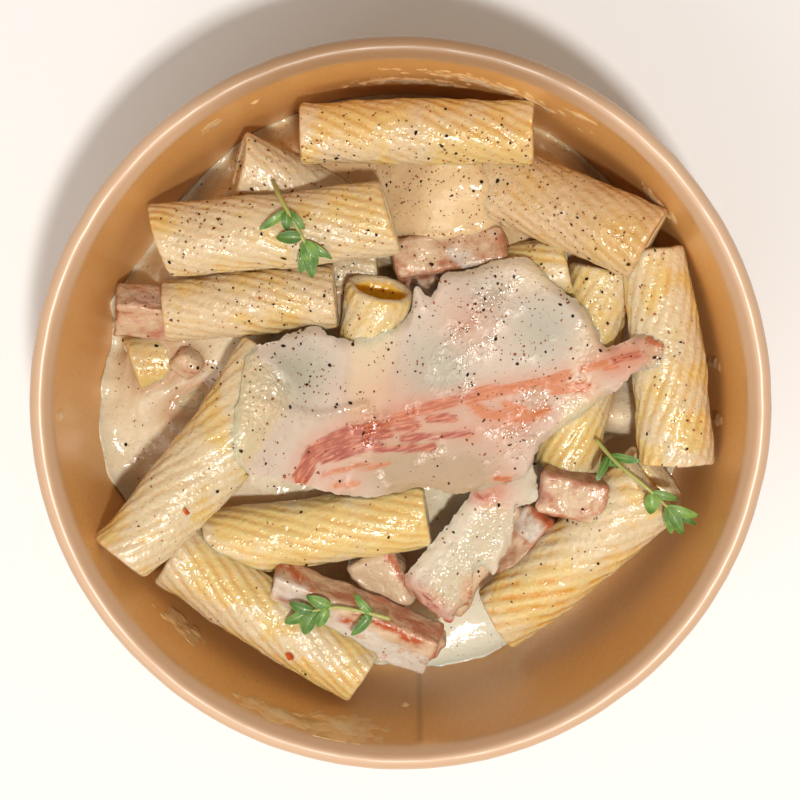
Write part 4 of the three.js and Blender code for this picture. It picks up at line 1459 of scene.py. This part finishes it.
@dataclass
class CuredSlice:
    """A thin slice draped over the pile; lengths in millimetres."""

    name: str = "draped_slice"
    nodes: tuple[str, ...] = ("cured_slice",)
    streaks: tuple[Streak, ...] = STREAKS
    grain_line: tuple[Plan, ...] = (  # the line that the lean's fibres follow
        (-24, -20), (-19.3, -12.6), (-11.2, -8.3), (-4.3, -6.2), (12.3, -1.5), (34.7, 4.4),
        (56, 12),
    )
    start: float = 53.0  # the height that it sinks from
    outline: tuple[Plan, ...] = (
        (-32.0, 10.2), (-33.4, 3.0), (-34.8, -4.0), (-34.6, -10.6), (-31.6, -15.2),
        (-23.0, -17.6), (-13.2, -20.2), (-5.6, -21.0), (4.7, -18.8), (11.6, -20.2),
        (19.4, -18.6), (26.5, -15.9), (29.4, -9.9), (37.0, -4.2), (45.3, 2.4), (49.2, 6.2),
        (53.4, 7.8), (54.6, 12.2), (50.6, 14.3), (43.4, 11.2), (41.2, 14.4), (38.8, 19.0),
        (32.2, 24.4), (26.8, 29.4), (20.6, 29.4), (13.4, 27.0), (9.2, 26.6), (6.1, 21.8),
        (3.2, 23.8), (1.4, 17.4), (-6.0, 13.4), (-13.0, 13.0), (-18.2, 15.6), (-25.6, 13.0),
    )
    # where painted shade of the hollows beneath greys the slice
    hollow_shade_spots: tuple[Heap, ...] = (
        (6.7, 7.0, 5.5, 1.0), (-20.5, 5.9, 5.0, 1.0), (16.4, 21.6, 4.0, 1.0),
        (29.8, 15.4, 5.0, 1.0), (8.5, 0.5, 4.0, 1.0),
    )
    pink_spots: tuple[Heap, ...] = (
        (14.3, 17.4, 4.5, 1.0), (-3, -2.0, 7.0, 1.0), (47, 9.5, 5.0, 1.0), (20, -8, 6.0, 1.0),
    )
    # where painted shade darkens the slice
    shaded_spots: tuple[Heap, ...] = (
        (-1.0, -15.5, 5.0, 1.0), (8.0, -17.0, 5.0, 1.0), (15.0, -16.0, 4.0, 1.0),
    )
    creases: tuple[tuple[Plan, ...], ...] = (
        ((-28.5, -0.4), (-24.8, -1.5), (-20.7, -2.5), (-18.2, -3.1), (-14.9, -2.9), (-7.5, -1.0)),
    )
    shine: tuple[Heap, ...] = (  # beaded places, and dry ones below 0
        (-29.5, 2.0, 4.0, 0.6), (-8.5, -5.0, 2.4, 0.6), (-4.0, -3.6, 2.0, 0.6),
        (1.5, -1.5, 2.0, 0.5), (14.3, 13.0, 4.5, 0.5), (20.5, 20.5, 3.5, 0.4),
        (28.2, -0.9, 3.5, 0.6), (26.0, -9.0, 3.5, 0.5), (7.5, 4.0, 3.5, 0.35),
        (-7.5, 3.5, 6.0, -0.9),
    )
    creamy: float = 0.0
    wetness: float = 0.0
    thickness: float = 0.8
    least: float = 0.15  # the thinnest it gets, and its gap over what it lies on
    columns: int = 320
    rows: int = 96
    cell: float = 0.6
    sag: float = 0.005  # how far an unheld cell drops in one step
    sink_steps: int = 2600
    edge_steps: int = 20
    even_steps: int = 24
    iron_steps: int = 3

    def __post_init__(self) -> None:
        """Works out the smooth border, the fibres' line and the cells that the slice hangs over."""
        self.flow = smooth_run(self.grain_line, 6, False)
        self.border = smooth_run(self.outline, 8, True)
        self.left = min(point.x for point in self.border)
        self.right = max(point.x for point in self.border)
        self.xs = np.arange(self.left - 2, self.right + 2, self.cell)
        front = min(point.y for point in self.border)
        back = max(point.y for point in self.border)
        self.ys = np.arange(front - 2, back + 2, self.cell)

    def span(self, x: float) -> Plan:
        """Finds the front and the back edge of the slice on a line across it.

        Args:
            x: where the line is.

        Returns:
            The lowest and the highest y of the border there.
        """
        x = min(self.right - 0.01, max(self.left + 0.01, x))
        ys = []
        for a, b in zip(self.border, self.border[1:] + self.border[:1]):
            if (a.x <= x) != (b.x <= x):
                ys.append(lerp(a.y, b.y, (x - a.x) / (b.x - a.x)))
        return min(ys), max(ys)

    def hang(self, ground: Ground) -> tuple[np.ndarray, np.ndarray, np.ndarray]:
        """Lets the slice sink onto what lies under it, like a heavy wet cloth.

        Args:
            ground: what it lies on.

        Returns:
            The height of its underside in each cell, its gap over the ground, and that gap
            evened out.
        """
        floor = np.array([[ground.top(x, y)[0] for x in self.xs] for y in self.ys]) + self.least
        spans = [self.span(x) for x in self.xs]
        inside = np.array([[float(low - 1 < y < high + 1) for low, high in spans] for y in self.ys])
        inside *= (self.xs > self.left - 1) & (self.xs < self.right + 1)
        count = np.maximum(neighbour_sum(inside), 1)
        height = np.full(floor.shape, self.start)
        for _ in range(self.sink_steps):
            height = np.maximum(neighbour_sum(height * inside) / count - self.sag, floor)
        gap = height - floor
        deep = inside
        for _ in range(self.edge_steps):
            deep = (deep + neighbour_sum(deep) / 4) / 2
        cling = np.clip((0.95 - deep) / 0.3, 0, 1) * np.clip((5.0 - gap) / 3.0, 0, 1)
        gap = gap * (1 - cling)
        height = floor + gap
        evened = gap
        for _ in range(self.even_steps):
            evened = (evened + neighbour_sum(evened * inside) / count) / 2
        for _ in range(self.iron_steps):
            evener = (height + neighbour_sum(height * inside) / count) / 2
            height = np.maximum(evener, floor - 0.1)
        return height, gap, evened

    def read(self, cells: np.ndarray, x: float, y: float) -> float:
        """Reads a value between the cells.

        Args:
            cells: the values.
            x: across.
            y: towards the back.

        Returns:
            The value at that place.
        """
        column = min(len(self.xs) - 1.001, max(0.0, (x - self.xs[0]) / self.cell))
        row = min(len(self.ys) - 1.001, max(0.0, (y - self.ys[0]) / self.cell))
        i, j = int(column), int(row)
        low = lerp(cells[j, i], cells[j, i + 1], column - i)
        high = lerp(cells[j + 1, i], cells[j + 1, i + 1], column - i)
        return float(lerp(low, high, row - j))

    def beside(self, place: Vector) -> Plan:
        """Finds a place's way along the fibres and its distance to their left.

        Args:
            place: where, in plan.

        Returns:
            The length along the fibres' line, and the signed distance from it.
        """
        best, run, off, before = math.inf, 0.0, 0.0, 0.0
        for a, b in zip(self.flow, self.flow[1:]):
            step = b - a
            share = (place - a).dot(step) / step.length_squared
            near = a + step * min(1.0, max(0.0, share))
            apart = math.hypot(place.x - near.x, place.y - near.y)
            if apart < best:
                side = step.x * (place.y - a.y) - step.y * (place.x - a.x)
                best, run, off = apart, before + share * step.length, math.copysign(apart, side)
            before += step.length
        return run, off

    def marks(self, place: Vector, gap: float) -> dict[str, float]:
        """Works out how the slice is coloured at a place.

        Args:
            place: where, in plan.
            gap: how far it hangs over the ground.

        Returns:
            Its marks, with how strongly a crease lifts it.
        """
        flat = (place.x, place.y)
        nearest = [(to_line(flat, streak.line) - streak.half, streak) for streak in self.streaks]
        depth, streak = min(nearest, key=lambda pair: pair[0])
        run, off = self.beside(place)
        pink = heaped(self.pink_spots, *flat)
        touch = ease(3.4, 0.0, gap)
        crease = max((bell(to_line(flat, line), 0.9) for line in self.creases), default=0.0)
        wet = 0.3 * ease(0.1, 0.6, rough(place + Vector((9, 9, 0)), 5.0, 2)) + 0.04 + self.wetness
        patchy = ease(-0.35, 0.3, rough(place + Vector((5, 0, 0)), 2.4, 3))
        for spot in self.shine:
            wet += heaped([spot], *flat) * (patchy if spot[3] > 0 else 1.0)
        return {
            "beads": min(1.0, max(0.0, wet + 0.3 * touch + 0.8 * crease)),
            "crease": crease,
            "dull": min(1.0, heaped(self.shaded_spots, *flat)),
            "cream": self.creamy * ease(0.9, -0.2, pink + ease(3.5, 0.0, depth)),
            "touch": touch,
            "run": run,
            "off": off,
            "lean": streak.strength * ease(1.1, -0.6, depth),
            "orange": streak.orange,
            "hollow_shade": min(1.0, heaped(self.hollow_shade_spots, *flat)),
            "pink": min(1.0, 0.55 * ease(4.0, 0.0, depth) + 0.6 * pink),
        }

    def build(self, finishes: Finishes, ground: Ground) -> bpy.types.Object:
        """Cuts, drapes and streaks the slice.

        Args:
            finishes: the materials.
            ground: what it lies on.

        Returns:
            The slice.
        """
        heights, gaps, evened = self.hang(ground)
        tops: list[list[Placed]] = []
        unders: list[list[Placed]] = []
        for column in range(self.columns + 1):
            share = 0.5 - 0.5 * math.cos(math.pi * column / self.columns)
            x = lerp(self.left, self.right, share)
            low, high = self.span(x)
            top_line, under_line = [], []
            for row in range(self.rows + 1):
                even = row / self.rows
                share = lerp(even, 0.5 - 0.5 * math.cos(math.pi * even), 0.7)
                place = Vector((x, lerp(low, high, share), 0))
                rim = min(place.y - low, high - place.y, x - self.left, self.right - x)
                stray = 0.5 * ease(2.5, 0.0, rim)
                place.x += stray * rough(place, 1.9, 3)
                place.y += stray * rough(place + Vector((40, 0, 0)), 1.9, 3)
                under = self.read(heights, place.x, place.y)
                gap = self.read(gaps, place.x, place.y)
                fold = 0.16 * rough(Vector((place.x * 0.6, place.y, 0)), 8.0, 2) * ease(0, 0.8, gap)
                under += max(fold, -gap)
                marks = self.marks(place, self.read(evened, place.x, place.y))
                lip = lerp(0.25, -0.15, ease(0.8, 0.1, gap))
                thick = self.thickness * lerp(1.0, 0.5, marks["touch"])
                lift = lerp(lip, thick, ease(0, 1.0, rim) ** 0.6 * ease(-1.0, 3.0, rim))
                lift += ease(0, 1, rim) * (0.06 * rough(place, 3.0, 2) + 0.08 * marks["lean"])
                lift += 0.5 * ease(0, 1, rim) * marks.pop("crease")
                under = min(under, under + lift - self.least)
                top = under + max(self.least, lift)
                top_line.append((Vector((place.x, place.y, top)), marks))
                under_line.append((Vector((place.x, place.y, under)), marks))
            tops.append(top_line)
            unders.append(under_line)

        def corner(column: int, row: int) -> Placed:
            """Places one corner, over the top from front to back and back underneath.

            Args:
                column: its step across the slice.
                row: its step round it.

            Returns:
                Its place and its marks.
            """
            if column in (0, self.columns):
                return tops[column][0]
            if row <= self.rows:
                return tops[column][row]
            return unders[column][2 * self.rows - row] if row < 2 * self.rows else tops[column][0]

        names = ("touch", "lean", "orange", "hollow_shade", "pink", "dull", "cream", "beads", "run", "off")
        mesh = new_mesh(names)
        weave_sheet(mesh, self.columns, 2 * self.rows, corner)
        return finish_piece(mesh, self.name, finishes.slice, self.nodes)


COAT = CuredSlice(
    name="coat_sheet", nodes=(), streaks=COAT_STREAKS,
    grain_line=((0, -38), (2.4, -42.8), (7.5, -46.7), (14, -49)),
    start=47.0,
    outline=(
        (15.2, -19.4), (12.9, -22.8), (10.4, -26.3), (7.2, -30.4), (4.5, -33.6), (2.2, -36.7),
        (0.3, -39.3), (0.9, -41.0), (2.6, -42.8), (4.3, -44.3), (6.6, -46.0), (8.8, -47.8),
        (10.5, -48.8), (12.0, -46.9), (13.0, -45.3), (14.5, -45.1), (15.1, -43.2), (15.1, -41.4),
        (14.3, -39.7), (15.3, -37.9), (17.0, -36.4), (18.3, -37.1), (20.0, -37.9), (21.2, -35.3),
        (22.5, -32.9), (23.5, -30.8), (23.9, -27.5), (24.1, -24.3), (25.4, -22.6), (27.3, -22.1),
        (28.9, -20.6), (28.7, -17.6), (27.8, -13.8), (25.9, -14.6), (23.8, -15.8), (20.9, -16.1),
        (18.0, -16.5),
    ),
    hollow_shade_spots=(), pink_spots=((21, -20, 3.0, 1.0),), shaded_spots=(), creases=(),
    creamy=0.8, wetness=0.08,
    shine=((7.8, -41.5, 3.2, 0.9), (12.5, -34.0, 2.5, 0.4)),
    thickness=0.9, columns=200, rows=70,
)


# ---- thyme


@dataclass(frozen=True)
class Leaf:
    """A thyme leaf: where on the stem, its heading in degrees, its length and its width."""

    along: float
    heading: float
    length: float
    width: float


@dataclass
class Sprig:
    """A thyme sprig lying on the food; lengths in millimetres."""

    name: str
    stem: tuple[Plan, ...]
    leaves: tuple[Leaf, ...]
    thick: float = 0.46
    clear: float = 0.35
    easing: int = 40  # how often the stem's bends are evened out
    stem_sides: int = 10
    blade_sides: int = 20
    blade_rows: int = 16

    def path(self, ground: Ground) -> list[Vector]:
        """Lays the stem over what is under it.

        Args:
            ground: what the sprig lies on.

        Returns:
            The stem's middle line.
        """
        line = smooth_run(self.stem, 8, False)
        for point in line:
            point.z = ground.around(point.x, point.y, 1.8) + self.clear + self.thick
        for _ in range(self.easing):
            for i in range(1, len(line) - 1):
                line[i].z = max(line[i].z, (line[i - 1].z + line[i + 1].z) / 2 - 0.01)
        return line

    def add_stem(self, mesh: bmesh.types.BMesh, line: list[Vector]) -> None:
        """Adds the stem, thinner towards its tip, as one closed skin.

        Args:
            mesh: the sprig's mesh.
            line: the stem's middle line.
        """
        last = len(line) - 1

        def corner(column: int, row: int) -> Placed:
            """Places one corner of the stem.

            Args:
                column: its step round the stem.
                row: its step along it, with a tip at each end.

            Returns:
                Its place and its mark.
            """
            i = min(max(row - 1, 0), last)
            along = (line[min(i + 1, last)] - line[max(i - 1, 0)]).normalized()
            side = along.cross(Vector((0, 0, 1))).normalized()
            up = side.cross(along)
            turn = column / self.stem_sides * math.tau
            radius = 0.0 if row in (0, last + 2) else self.thick * lerp(1.0, 0.75, i / last)
            off = side * math.cos(turn) + up * math.sin(turn)
            return line[i] + off * radius, {"stem": 1.0}

        weave_sheet(mesh, self.stem_sides, last + 2, corner)

    def add_leaf(
        self, mesh: bmesh.types.BMesh, line: list[Vector], leaf: Leaf, ground: Ground
    ) -> None:
        """Adds one blade, folded along its midrib and curved over its length.

        Args:
            mesh: the sprig's mesh.
            line: the stem's middle line.
            leaf: the blade.
            ground: what it must stay clear of.
        """
        base = line[round(leaf.along * (len(line) - 1))]
        angle = math.radians(leaf.heading)
        ahead = Vector((math.cos(angle), math.sin(angle), 0))
        across = Vector((-ahead.y, ahead.x, 0))
        rise = 0.0
        for share in (0.3, 0.5, 0.75, 1.0):
            far = base + ahead * leaf.length * share
            floor = ground.around(far.x, far.y, leaf.width / 2)
            rise = max(rise, (floor + self.clear + 0.4 * share**2 - base.z) / (leaf.length * share))
        sway = 0.35 * math.sin(leaf.heading * 1.7)
        # painted shade, a deeper green on some leaves
        shade = 0.35 + 0.35 * math.sin(leaf.heading * 3.3 + leaf.length * 5)

        def corner(column: int, row: int) -> Placed:
            """Places one corner of the blade.

            Args:
                column: its step round the blade.
                row: its step along it.

            Returns:
                Its place and its marks.
            """
            share = row / self.blade_rows
            body = max(0.0, math.sin(math.pi * share**0.82)) ** 0.62
            stalk = 0.16 if share < 0.12 else 0.0
            half = leaf.width / 2 * max(stalk, body) if 0 < share < 1 else 0.0
            turn = column / self.blade_sides * math.tau
            out = math.cos(turn)
            fold = 0.32 * half * abs(out) - 0.06 * math.cos(3 * math.pi * out) * half
            skin = 0.14 * math.sin(turn) * (1 if half else 0)
            run = leaf.length * share
            lift = rise * run + 0.5 * math.sin(math.pi * share) - 0.35 * share**2
            drift = sway * share**2 * leaf.length * 0.3
            spot = base + ahead * run + across * (out * half + drift)
            spot.z += lift + fold + skin
            rib = bell(out, 0.11) * ease(1.0, 0.3, share)
            border = ease(0.75, 0.98, abs(out))
            return spot, {"rib": 0.45 * rib, "border": 0.5 * border, "deep": shade}

        weave_sheet(mesh, self.blade_sides, self.blade_rows, corner)

    def build(self, finishes: Finishes, ground: Ground) -> bpy.types.Object:
        """Makes the stem and its leaves.

        Args:
            finishes: the materials.
            ground: what the sprig lies on.

        Returns:
            The sprig.
        """
        mesh = new_mesh(("stem", "rib", "border", "deep"))
        line = self.path(ground)
        self.add_stem(mesh, line)
        for leaf in self.leaves:
            self.add_leaf(mesh, line, leaf, ground)
        return finish_piece(mesh, f"sprig_{self.name}", finishes.leaf,
                            [f"thyme_{self.name}"])


SPRIGS = (
    Sprig("back_left", ((-26.7, 45.6), (-22.9, 39.4), (-20.6, 35.2), (-19.2, 32.6)),
          (Leaf(0.28, 221, 7.0, 1.8), Leaf(0.28, 272, 4.2, 2.5), Leaf(0.28, 308, 5.4, 2.1),
           Leaf(0.73, 175, 5.4, 2.8), Leaf(0.84, 299, 6.0, 3.5), Leaf(0.84, 332, 7.0, 1.6),
           Leaf(0.97, 262, 6.0, 2.3), Leaf(0.98, 284, 6.6, 2.8), Leaf(0.96, 327, 4.8, 1.5))),
    Sprig("right", ((41.2, -8.6), (44.9, -12.5), (51.0, -17.3), (56.2, -22.2)),
          (Leaf(0.27, 237, 5.9, 1.8), Leaf(0.27, 275, 2.6, 1.3), Leaf(0.28, 303, 2.6, 1.4),
           Leaf(0.27, 353, 6.4, 1.9), Leaf(0.73, 272, 4.8, 3.1), Leaf(0.74, 350, 5.8, 1.9),
           Leaf(0.96, 281, 6.3, 2.1), Leaf(0.97, 306, 7.2, 2.6), Leaf(0.98, 329, 6.8, 1.8),
           Leaf(0.96, 337, 7.2, 2.3))),
    Sprig("front", ((-2.2, -46.0), (-6.7, -44.7), (-13.0, -43.4), (-19.0, -44.2)),
          (Leaf(0.28, 136, 5.7, 1.9), Leaf(0.28, 229, 6.5, 2.2), Leaf(0.30, 201, 3.0, 1.1),
           Leaf(0.76, 149, 5.9, 2.7), Leaf(0.97, 169, 5.5, 2.5), Leaf(0.98, 205, 6.1, 2.5),
           Leaf(0.97, 241, 5.6, 3.2), Leaf(0.92, 247, 6.2, 1.7), Leaf(0.80, 238, 4.8, 2.4))),
)


# ---- pepper and smears


@dataclass(frozen=True)
class Grind:
    """Grains of one kind: the piece's name, how many, and their smallest and largest radius."""

    name: str
    count: int
    sizes: Plan
    single: tuple[Spot, ...] = ()  # larger flakes: across, towards the back and radius


GRINDS = (
    Grind("pepper_black", 620, (0.1, 0.42)),
    Grind("pepper_brown", 2300, (0.08, 0.3)),
    Grind("chilli_flakes", 40, (0.12, 0.36), ((-44.4, -22.0, 0.95), (-23.4, -54.3, 1.0))),
)


@dataclass
class Pepper:
    """Ground pepper and chilli over the food, denser towards the back and on the slice."""

    seed: int = 11
    reach: float = 63.0
    lowest: float = 10.0  # no grain lies deeper
    steepest: float = 0.35  # the least upward facing that holds a grain
    sunk: float = 0.12  # share of a grain's radius that its middle stays over the food
    ragged: float = 0.28  # share of a grain's radius that its corners stray
    clusters: tuple[Heap, ...] = (
        (36.5, -26.5, 2.2, 3.0), (-27, -15, 4.0, 2.0), (26, 2, 5.0, 1.5), (-24, 9, 6.0, 1.0),
        (-41, 43, 3.0, 3.0), (28, 44, 12.0, 1.6), (6, 44, 9.0, 1.2), (20, 21, 7.0, 1.4),
        (-18, 48, 9.0, 0.8), (-30, 21, 9.0, 0.9), (23, -10, 4.0, 1.4), (-17, 0, 8.0, 0.8),
    )

    def density(self, x: float, y: float) -> float:
        """Finds how thickly the pepper lies.

        Args:
            x: across.
            y: towards the back.

        Returns:
            The share of grains that stay at that point in plan.
        """
        base = lerp(0.13, 0.5, ease(-18, 30, y))
        close = heaped(self.clusters, x, y)
        patchy = 0.55 + 0.6 * rough(Vector((x, y, 3.0)), 6.0, 2)
        return min(1.0, (base + 0.35 * close) * max(0.0, patchy))

    def scatter(
        self, grind: Grind, material: bpy.types.Material, ground: Ground
    ) -> bpy.types.Object:
        """Drops grains on the food, the single flakes first.

        Args:
            grind: the grains.
            material: their finish.
            ground: what they lie on.

        Returns:
            All the grains as one piece.
        """
        draw = random.Random(f"{grind.name}{self.seed}")
        mesh = new_mesh()
        reach = self.reach
        placed = -len(grind.single)
        while placed < grind.count:
            x, y = draw.uniform(-reach, reach), draw.uniform(-reach, reach)
            if placed >= 0 and (math.hypot(x, y) > reach or draw.random() > self.density(x, y)):
                continue
            radius = lerp(*grind.sizes, draw.random() ** 2.5)
            if placed < 0:
                x, y, radius = grind.single[placed]
            height, facing = ground.top(x, y)
            if height < self.lowest or facing.z < self.steepest:
                continue
            turned = facing.to_track_quat("Z", "Y").to_matrix().to_4x4()
            stretch = Matrix.Diagonal((draw.uniform(0.7, 1.5), draw.uniform(0.7, 1.1), 0.55, 1))
            spin = Matrix.Rotation(draw.uniform(0, math.tau), 4, "Z")
            place = Matrix.Translation((x, y, height + radius * self.sunk))
            made = bmesh.ops.create_icosphere(
                mesh, subdivisions=1, radius=radius, matrix=place @ turned @ spin @ stretch
            )["verts"]
            for vert in made:
                shift = Vector([draw.uniform(-1, 1) for _ in range(3)])
                vert.co += shift * radius * self.ragged
            placed += 1
        piece = finish_piece(mesh, grind.name, material)
        piece.data.polygons.foreach_set("use_smooth", [False] * len(piece.data.polygons))
        return piece


FULL_FILM = 0.35  # millimetres


@dataclass(frozen=True)
class Smear:
    """A film of sauce on the wall: degrees round it, height, and reach round and up."""

    at: float
    height: float
    reach: float
    rise: float
    film: float = FULL_FILM  # its thickness
    ragged: float = 0.8
    slant: float = 0.0  # how much it rises for each millimetre round the wall


SMEARS = (
    Smear(74, 41, 17, 4.5, 0.35, 1.1, 0.1), Smear(88, 31, 12, 3.5, 0.5, 0.9),
    Smear(58.5, 50, 3.6, 1.5, 0.4, 0.5, -0.5), Smear(38, 37, 4.5, 3.5, 0.5, 1.0),
    Smear(34, 41, 2.0, 2.0, 0.3, 0.8), Smear(-178.7, 52.6, 1.3, 2.6, 0.35, 0.3),
    Smear(124, 47, 3.0, 3.0, 0.25, 1.0), Smear(115.6, 45, 1.0, 0.8, 0.3, 0.4),
    Smear(-135, 40, 6.0, 3.0, 0.15, 1.8), Smear(-112, 52.5, 9.0, 3.6, 0.3, 0.5),
    Smear(-100, 50.5, 9.0, 6.0, 0.24, 0.55), Smear(-89.3, 37, 1.0, 1.1, 0.45, 0.2),
    Smear(6, 34, 1.3, 6.0, 0.25, 1.0), Smear(-4, 37, 1.2, 3.0, 0.25, 1.0),
    Smear(-63, 14, 1.0, 1.2, 0.35, 0.3),
)


@dataclass
class WallFilms:
    """The sauce films that cling to the inside of the bowl's wall."""

    bowl: KraftBowl
    cell: float = 0.35
    margin: float = 1.4  # how far a patch goes past the film's reach, as a share of it
    radius: float = 68.0  # at which the reach round the wall is measured
    top: float = 57.0
    back: float = -0.25  # how far the rim and the back lie behind the paper's surface

    def build(self, finishes: Finishes) -> bpy.types.Object:
        """Makes each film as a thin closed patch whose rim dips under the paper's surface.

        Args:
            finishes: the materials.

        Returns:
            All the films as one piece.
        """
        mesh = new_mesh(("thick",))
        for smear in SMEARS:
            self.add_film(mesh, smear)
        return finish_piece(mesh, "wall_films", finishes.film)

    def add_film(self, mesh: bmesh.types.BMesh, smear: Smear) -> None:
        """Adds one film.

        Args:
            mesh: the mesh of all the films.
            smear: its place and size.
        """
        wide, tall = smear.reach * self.margin, smear.rise * self.margin
        columns = max(8, round(2 * wide / self.cell))
        half = max(8, round(2 * tall / self.cell))

        def corner(column: int, row: int) -> Placed:
            """Places one corner, up the front of the film and down its back.

            Args:
                column: its step round the wall.
                row: its step up and down.

            Returns:
                Its place and its mark.
            """
            front = row <= half
            up = row / half if front else (2 * half - row) / half
            run = lerp(-wide, wide, column / columns)
            rise = lerp(-tall, tall, up)
            border = max(abs(run) / wide, abs(rise) / tall)
            height = min(self.top, smear.height + rise + smear.slant * run)
            turn = math.radians(smear.at) + run / self.radius
            spread = 1 - math.hypot(run / smear.reach, rise / smear.rise)
            ragged = rough(Vector((run + smear.at, rise, smear.height)), 2.6, 4)
            body = min(1.0, spread + smear.ragged * ragged - 0.1 * smear.ragged)
            thick = smear.film * (1.1 * max(0.0, body) ** 0.5 if body > 0 else max(-0.6, body))
            if not front or border > 0.995:
                thick = self.back
            radius = self.bowl.inside(height) - thick
            marks = {"thick": max(0.0, body) * min(1.0, smear.film / FULL_FILM)}
            return Vector((radius * math.cos(turn), radius * math.sin(turn), height)), marks

        weave_sheet(mesh, columns, 2 * half, corner)


# ---- stage


@dataclass
class Stage:
    """The floor, the lights and the camera; lengths in metres."""

    eye: Spot = (0.005, 0.06121, 0.460)
    aim: Spot = (0.00005, 0.00276, 0.060)
    lens: float = 90.64
    key_from: Spot = (0.119, -0.17, 1.07)
    key_power: float = 7.7  # watts
    key_size: float = 0.08
    key_colour: Spot = (1.0, 0.94, 0.86)
    fill_from: Spot = (-0.5, -0.7, 0.9)
    fill_power: float = 5.0  # watts
    fill_size: float = 0.9
    fill_colour: Spot = (1.0, 0.95, 0.88)
    room_colour: Spot = (1.0, 0.85, 0.69)
    room_strength: float = 0.42
    floor_half: float = 3.0

    def set_floor(self) -> None:
        """Lays a plain pale floor."""
        mesh = bmesh.new()
        bmesh.ops.create_grid(mesh, x_segments=2, y_segments=2, size=self.floor_half)
        data = bpy.data.meshes.new("floor")
        mesh.to_mesh(data)
        mesh.free()
        material, shader = Finishes.start("floor")
        colour = shader.blend(shader.speckle(400.0), tint("#e9edf4"), tint("#ecf0f7"))
        Gloss(roughness=0.9).dress(shader, colour)
        data.materials.append(material)
        floor = bpy.data.objects.new("floor", data)
        bpy.context.scene.collection.objects.link(floor)

    def set_lights(self) -> None:
        """Hangs a warm key and a wide soft fill, and fills the room with warm light."""
        self.hang("key", self.key_from, self.key_power, self.key_size, self.key_colour)
        self.hang("fill", self.fill_from, self.fill_power, self.fill_size, self.fill_colour)
        world = bpy.data.worlds.new("room")
        world.use_nodes = True
        background = world.node_tree.nodes["Background"]
        background.inputs["Color"].default_value = (*self.room_colour, 1)
        background.inputs["Strength"].default_value = self.room_strength
        bpy.context.scene.world = world

    @staticmethod
    def hang(name: str, place: Spot, power: float, size: float, colour: Spot) -> None:
        """Hangs one square area light that faces the dish.

        Args:
            name: the light's name.
            place: where it hangs.
            power: its power in watts.
            size: the length of its side.
            colour: its red, green and blue.
        """
        data = bpy.data.lights.new(name, "AREA")
        data.energy = power
        data.size = size
        data.color = colour
        light = bpy.data.objects.new(name, data)
        light.location = place
        light.rotation_euler = (-Vector(place)).to_track_quat("-Z", "Y").to_euler()
        bpy.context.scene.collection.objects.link(light)

    def set_camera(self) -> None:
        """Sets the camera over the dish, with the back of the dish at the top."""
        ahead = (Vector(self.aim) - Vector(self.eye)).normalized()
        right = ahead.cross(Vector((0, 1, 0))).normalized()
        up = right.cross(ahead)
        data = bpy.data.cameras.new("camera")
        data.lens = self.lens
        data.sensor_width = 36.0
        data.clip_start = 0.01
        camera = bpy.data.objects.new("camera", data)
        turned = Matrix((right, up, -ahead)).transposed().to_4x4()
        camera.matrix_world = Matrix.Translation(self.eye) @ turned
        bpy.context.scene.collection.objects.link(camera)
        bpy.context.scene.camera = camera

    def build(self) -> None:
        """Sets up all of it."""
        self.set_floor()
        self.set_lights()
        self.set_camera()
        bpy.context.scene.view_settings.view_transform = "Standard"


# ---- the dish


def main() -> None:
    """Builds the dish from the bowl upwards and reports each piece."""
    logging.basicConfig(level=logging.INFO, format="%(name)s %(message)s")
    finishes = Finishes()
    Stage().build()
    bowl = KraftBowl()
    bowl.build(finishes)
    ground = Ground()
    for tube in RIGATONI:
        ground.lay(tube.build(finishes))
    for block in BACON:
        ground.lay(block.build(finishes))
    ground.lay(Sauce(bowl).build(finishes, ground))
    ground.lay(COAT.build(finishes, ground))
    ground.lay(CuredSlice().build(finishes, ground))
    pepper = Pepper()
    spices = (finishes.black_pepper, finishes.brown_pepper, finishes.chilli)
    for grind, spice in zip(GRINDS, spices):
        pepper.scatter(grind, spice, ground)
    WallFilms(bowl).build(finishes)
    for sprig in SPRIGS:
        sprig.build(finishes, ground)


if __name__ == "__main__":
    main()
